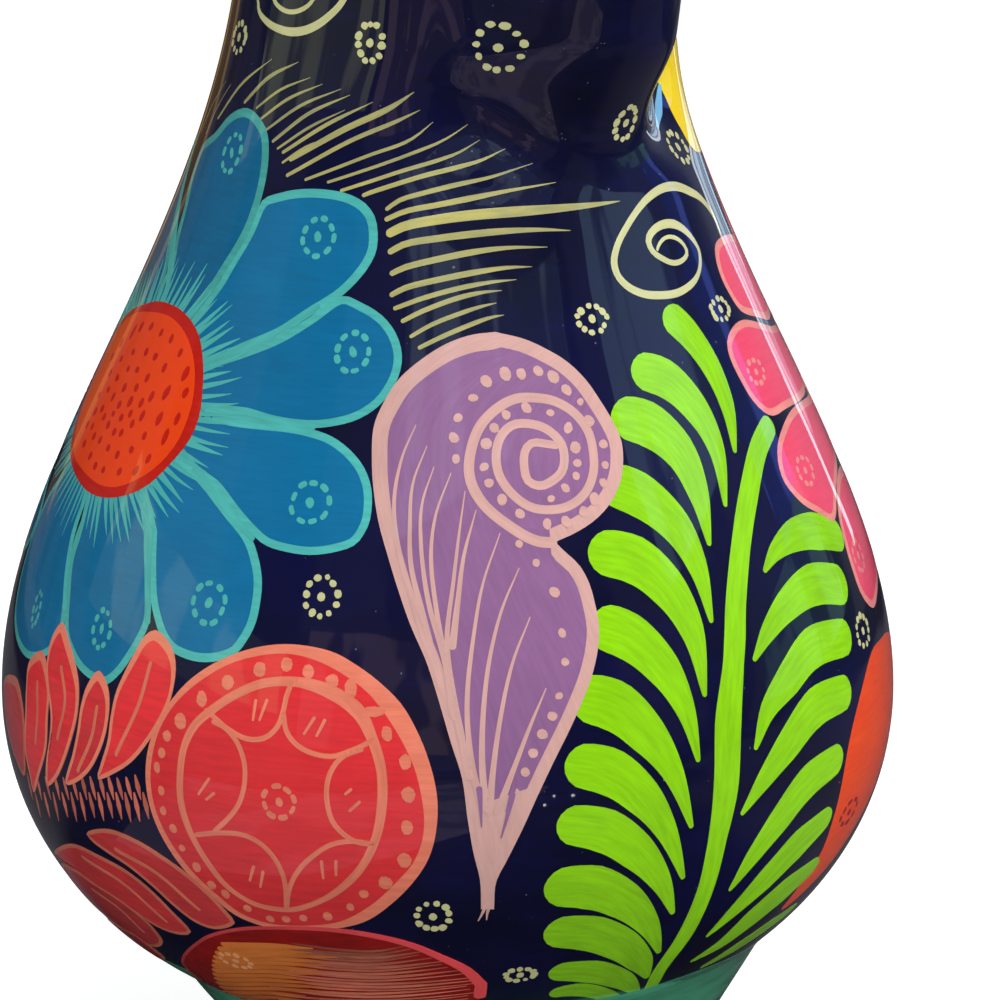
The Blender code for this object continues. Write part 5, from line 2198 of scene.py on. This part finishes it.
def make_floor():
    deselect()
    bpy.ops.mesh.primitive_plane_add(size=FLOOR_SIZE, location=(0, 0, 0))
    floor = bpy.context.object
    floor.name = "floor"
    material, tree, shader = new_material("pale floor")
    shader.inputs["Base Color"].default_value = (0.55, 0.55, 0.55, 1.0)
    shader.inputs["Roughness"].default_value = 0.9
    shader.inputs["Specular IOR Level"].default_value = 0.0
    glow = add(tree, "ShaderNodeMath", operation="MULTIPLY")
    tree.links.new(seen_rays(tree), glow.inputs[0])
    glow.inputs[1].default_value = FLOOR_GLOW
    shader.inputs["Emission Color"].default_value = (1.0, 1.0, 1.0, 1.0)
    tree.links.new(glow.outputs[0], shader.inputs["Emission Strength"])
    floor.data.materials.append(material)


def room_glow(name, tone, scale=0.0, low=1.0):
    """Glow of a thing in the room, broken by darker patches where a scale is given."""
    material = bpy.data.materials.new(name)
    material.use_nodes = True
    tree = material.node_tree
    tree.nodes.clear()
    out = tree.nodes.new("ShaderNodeOutputMaterial")
    glow = add(tree, "ShaderNodeEmission", Color=(*tone, 1.0), Strength=1.0)
    if scale:
        where = add(tree, "ShaderNodeTexCoord").outputs["Object"]
        patches = noise(tree, where, scale, detail=2.0, stretch=(1.0, 1.0, 0.6))
        tree.links.new(spread(tree, patches, 0.47, 0.53, low, 1.0), glow.inputs["Strength"])
    tree.links.new(glow.outputs[0], out.inputs["Surface"])
    return material


def card(where, long, wide, turn=(0.0, 0.0, 0.0)):
    """A flat card of a length and a breadth."""
    deselect()
    bpy.ops.mesh.primitive_plane_add(size=1.0, location=where, rotation=turn)
    bpy.ops.transform.resize(value=(long, wide, 1.0), orient_type="LOCAL")
    bpy.ops.object.transform_apply()


def make_room():
    """The dim room that the varnish reflects: seen only in reflections, and shut all round."""
    deselect()
    bpy.ops.mesh.primitive_cylinder_add(
        vertices=96,
        radius=ROOM_RADIUS,
        depth=ROOM_HIGH - ROOM_LOW,
        location=(0, 0, (ROOM_HIGH + ROOM_LOW) / 2),
    )
    only_reflected("dim_room", room_glow("dim room", (0.085, 0.08, 0.09), scale=1.6, low=0.12))
    for name, heading, breadth, low, high, tone in PANELS:
        ahead, half = math.radians(heading), math.radians(breadth / 2)
        reach = ROOM_RADIUS * math.cos(half) - PANEL_CLEAR
        where = (reach * math.cos(ahead), reach * math.sin(ahead), (low + high) / 2)
        card(where, 2 * reach * math.tan(half), high - low, (math.pi / 2, 0.0, ahead + math.pi / 2))
        broken = breadth > 10
        only_reflected(name, room_glow(name, tone, scale=3.4 if broken else 0.0, low=0.25))
    for name, x, y, long, wide, tone in FLOOR_CARDS:
        card((x, y, CARD_HEIGHT), long, wide)
        only_reflected(name, room_glow(name, tone, scale=7.0, low=0.5))
    for k, where in enumerate(GLINTS):
        deselect()
        size = GLINT_RADIUS * (2 if k == 0 else 1)
        bpy.ops.mesh.primitive_uv_sphere_add(segments=12, ring_count=8, radius=size, location=where)
        only_reflected(f"glint_{k}", room_glow("lamp glint", (12.0, 12.0, 12.0)))


def only_reflected(name, material):
    """Names the newest object, and leaves it visible to reflections alone."""
    obj = bpy.context.object
    obj.name = name
    obj.data.materials.append(material)
    obj.visible_camera = False
    obj.visible_diffuse = False
    obj.visible_transmission = False
    obj.visible_volume_scatter = False
    obj.visible_shadow = False


def make_lamp(name, place_at, size, power):
    """A soft lamp that the varnish doesn't show, turned to the middle of the jug."""
    data = bpy.data.lights.new(name, "AREA")
    data.shape = "RECTANGLE"
    data.size, data.size_y = size
    data.energy = power
    lamp = bpy.data.objects.new(name, data)
    lamp.location = place_at
    aim = Vector((0, 0, LAMP_AIM)) - Vector(place_at)
    lamp.rotation_euler = aim.to_track_quat("-Z", "Y").to_euler()
    lamp.visible_glossy = False
    bpy.context.scene.collection.objects.link(lamp)


def from_view(aside, towards, height):
    """A place given across the view, towards the camera and up."""
    flat_back = Vector((SIGHT_BACK.x, SIGHT_BACK.y, 0)).normalized()
    return SIGHT_RIGHT * aside + flat_back * towards + Vector((0, 0, height))


class JUG_OT_stage(bpy.types.Operator):
    """Sets up the floor, the room that the varnish reflects, the soft lamps and the camera"""

    bl_idname = "jug.stage"
    bl_label = "Stage"

    def execute(self, context):
        make_world()
        make_floor()
        make_room()
        for name, where, size, share in LAMPS:
            power = studio().key if name == "key" else studio().fill * share
            make_lamp(name, from_view(*where), size, power)
        make_camera()
        context.scene.view_settings.view_transform = "Standard"
        return {"FINISHED"}


class JUG_PT_panel(bpy.types.Panel):
    """Lists the steps of the jug in the sidebar"""

    bl_idname = "JUG_PT_panel"
    bl_label = "Clay Jug"
    bl_space_type = "VIEW_3D"
    bl_region_type = "UI"
    bl_category = "Clay Jug"

    def draw(self, context):
        layout = self.layout
        for step in STEPS:
            layout.operator(step.bl_idname)
        for label, group in (
            ("Paints", paints()),
            ("Sizes", sizes()),
            ("Studio", studio()),
        ):
            box = layout.box()
            box.label(text=label)
            for name in group.bl_rna.properties.keys():
                if name not in ("rna_type", "name"):
                    box.prop(group, name)


STEPS = (
    JUG_OT_clay_body,
    JUG_OT_ring_foot,
    JUG_OT_strap_handle,
    JUG_OT_daisies,
    JUG_OT_cream_fans,
    JUG_OT_paisleys,
    JUG_OT_ferns,
    JUG_OT_round_flowers,
    JUG_OT_leaf_clusters,
    JUG_OT_low_flowers,
    JUG_OT_side_petals,
    JUG_OT_spirals,
    JUG_OT_stage,
)
GROUPS = (JugPaints, JugSizes, JugStudio)


def register():
    for kind in (*GROUPS, *STEPS, JUG_PT_panel):
        bpy.utils.register_class(kind)
    bpy.types.Scene.jug_paints = PointerProperty(type=JugPaints)
    bpy.types.Scene.jug_sizes = PointerProperty(type=JugSizes)
    bpy.types.Scene.jug_studio = PointerProperty(type=JugStudio)


def unregister():
    del bpy.types.Scene.jug_studio
    del bpy.types.Scene.jug_sizes
    del bpy.types.Scene.jug_paints
    for kind in reversed((*GROUPS, *STEPS, JUG_PT_panel)):
        bpy.utils.unregister_class(kind)


def main():
    register()
    bpy.ops.jug.clay_body()
    bpy.ops.jug.ring_foot()
    bpy.ops.jug.strap_handle()
    bpy.ops.jug.daisies()
    bpy.ops.jug.cream_fans()
    bpy.ops.jug.paisleys()
    bpy.ops.jug.ferns()
    bpy.ops.jug.round_flowers()
    bpy.ops.jug.leaf_clusters()
    bpy.ops.jug.low_flowers()
    bpy.ops.jug.side_petals()
    bpy.ops.jug.spirals()
    bpy.ops.jug.stage()


if __name__ == "__main__":
    main()
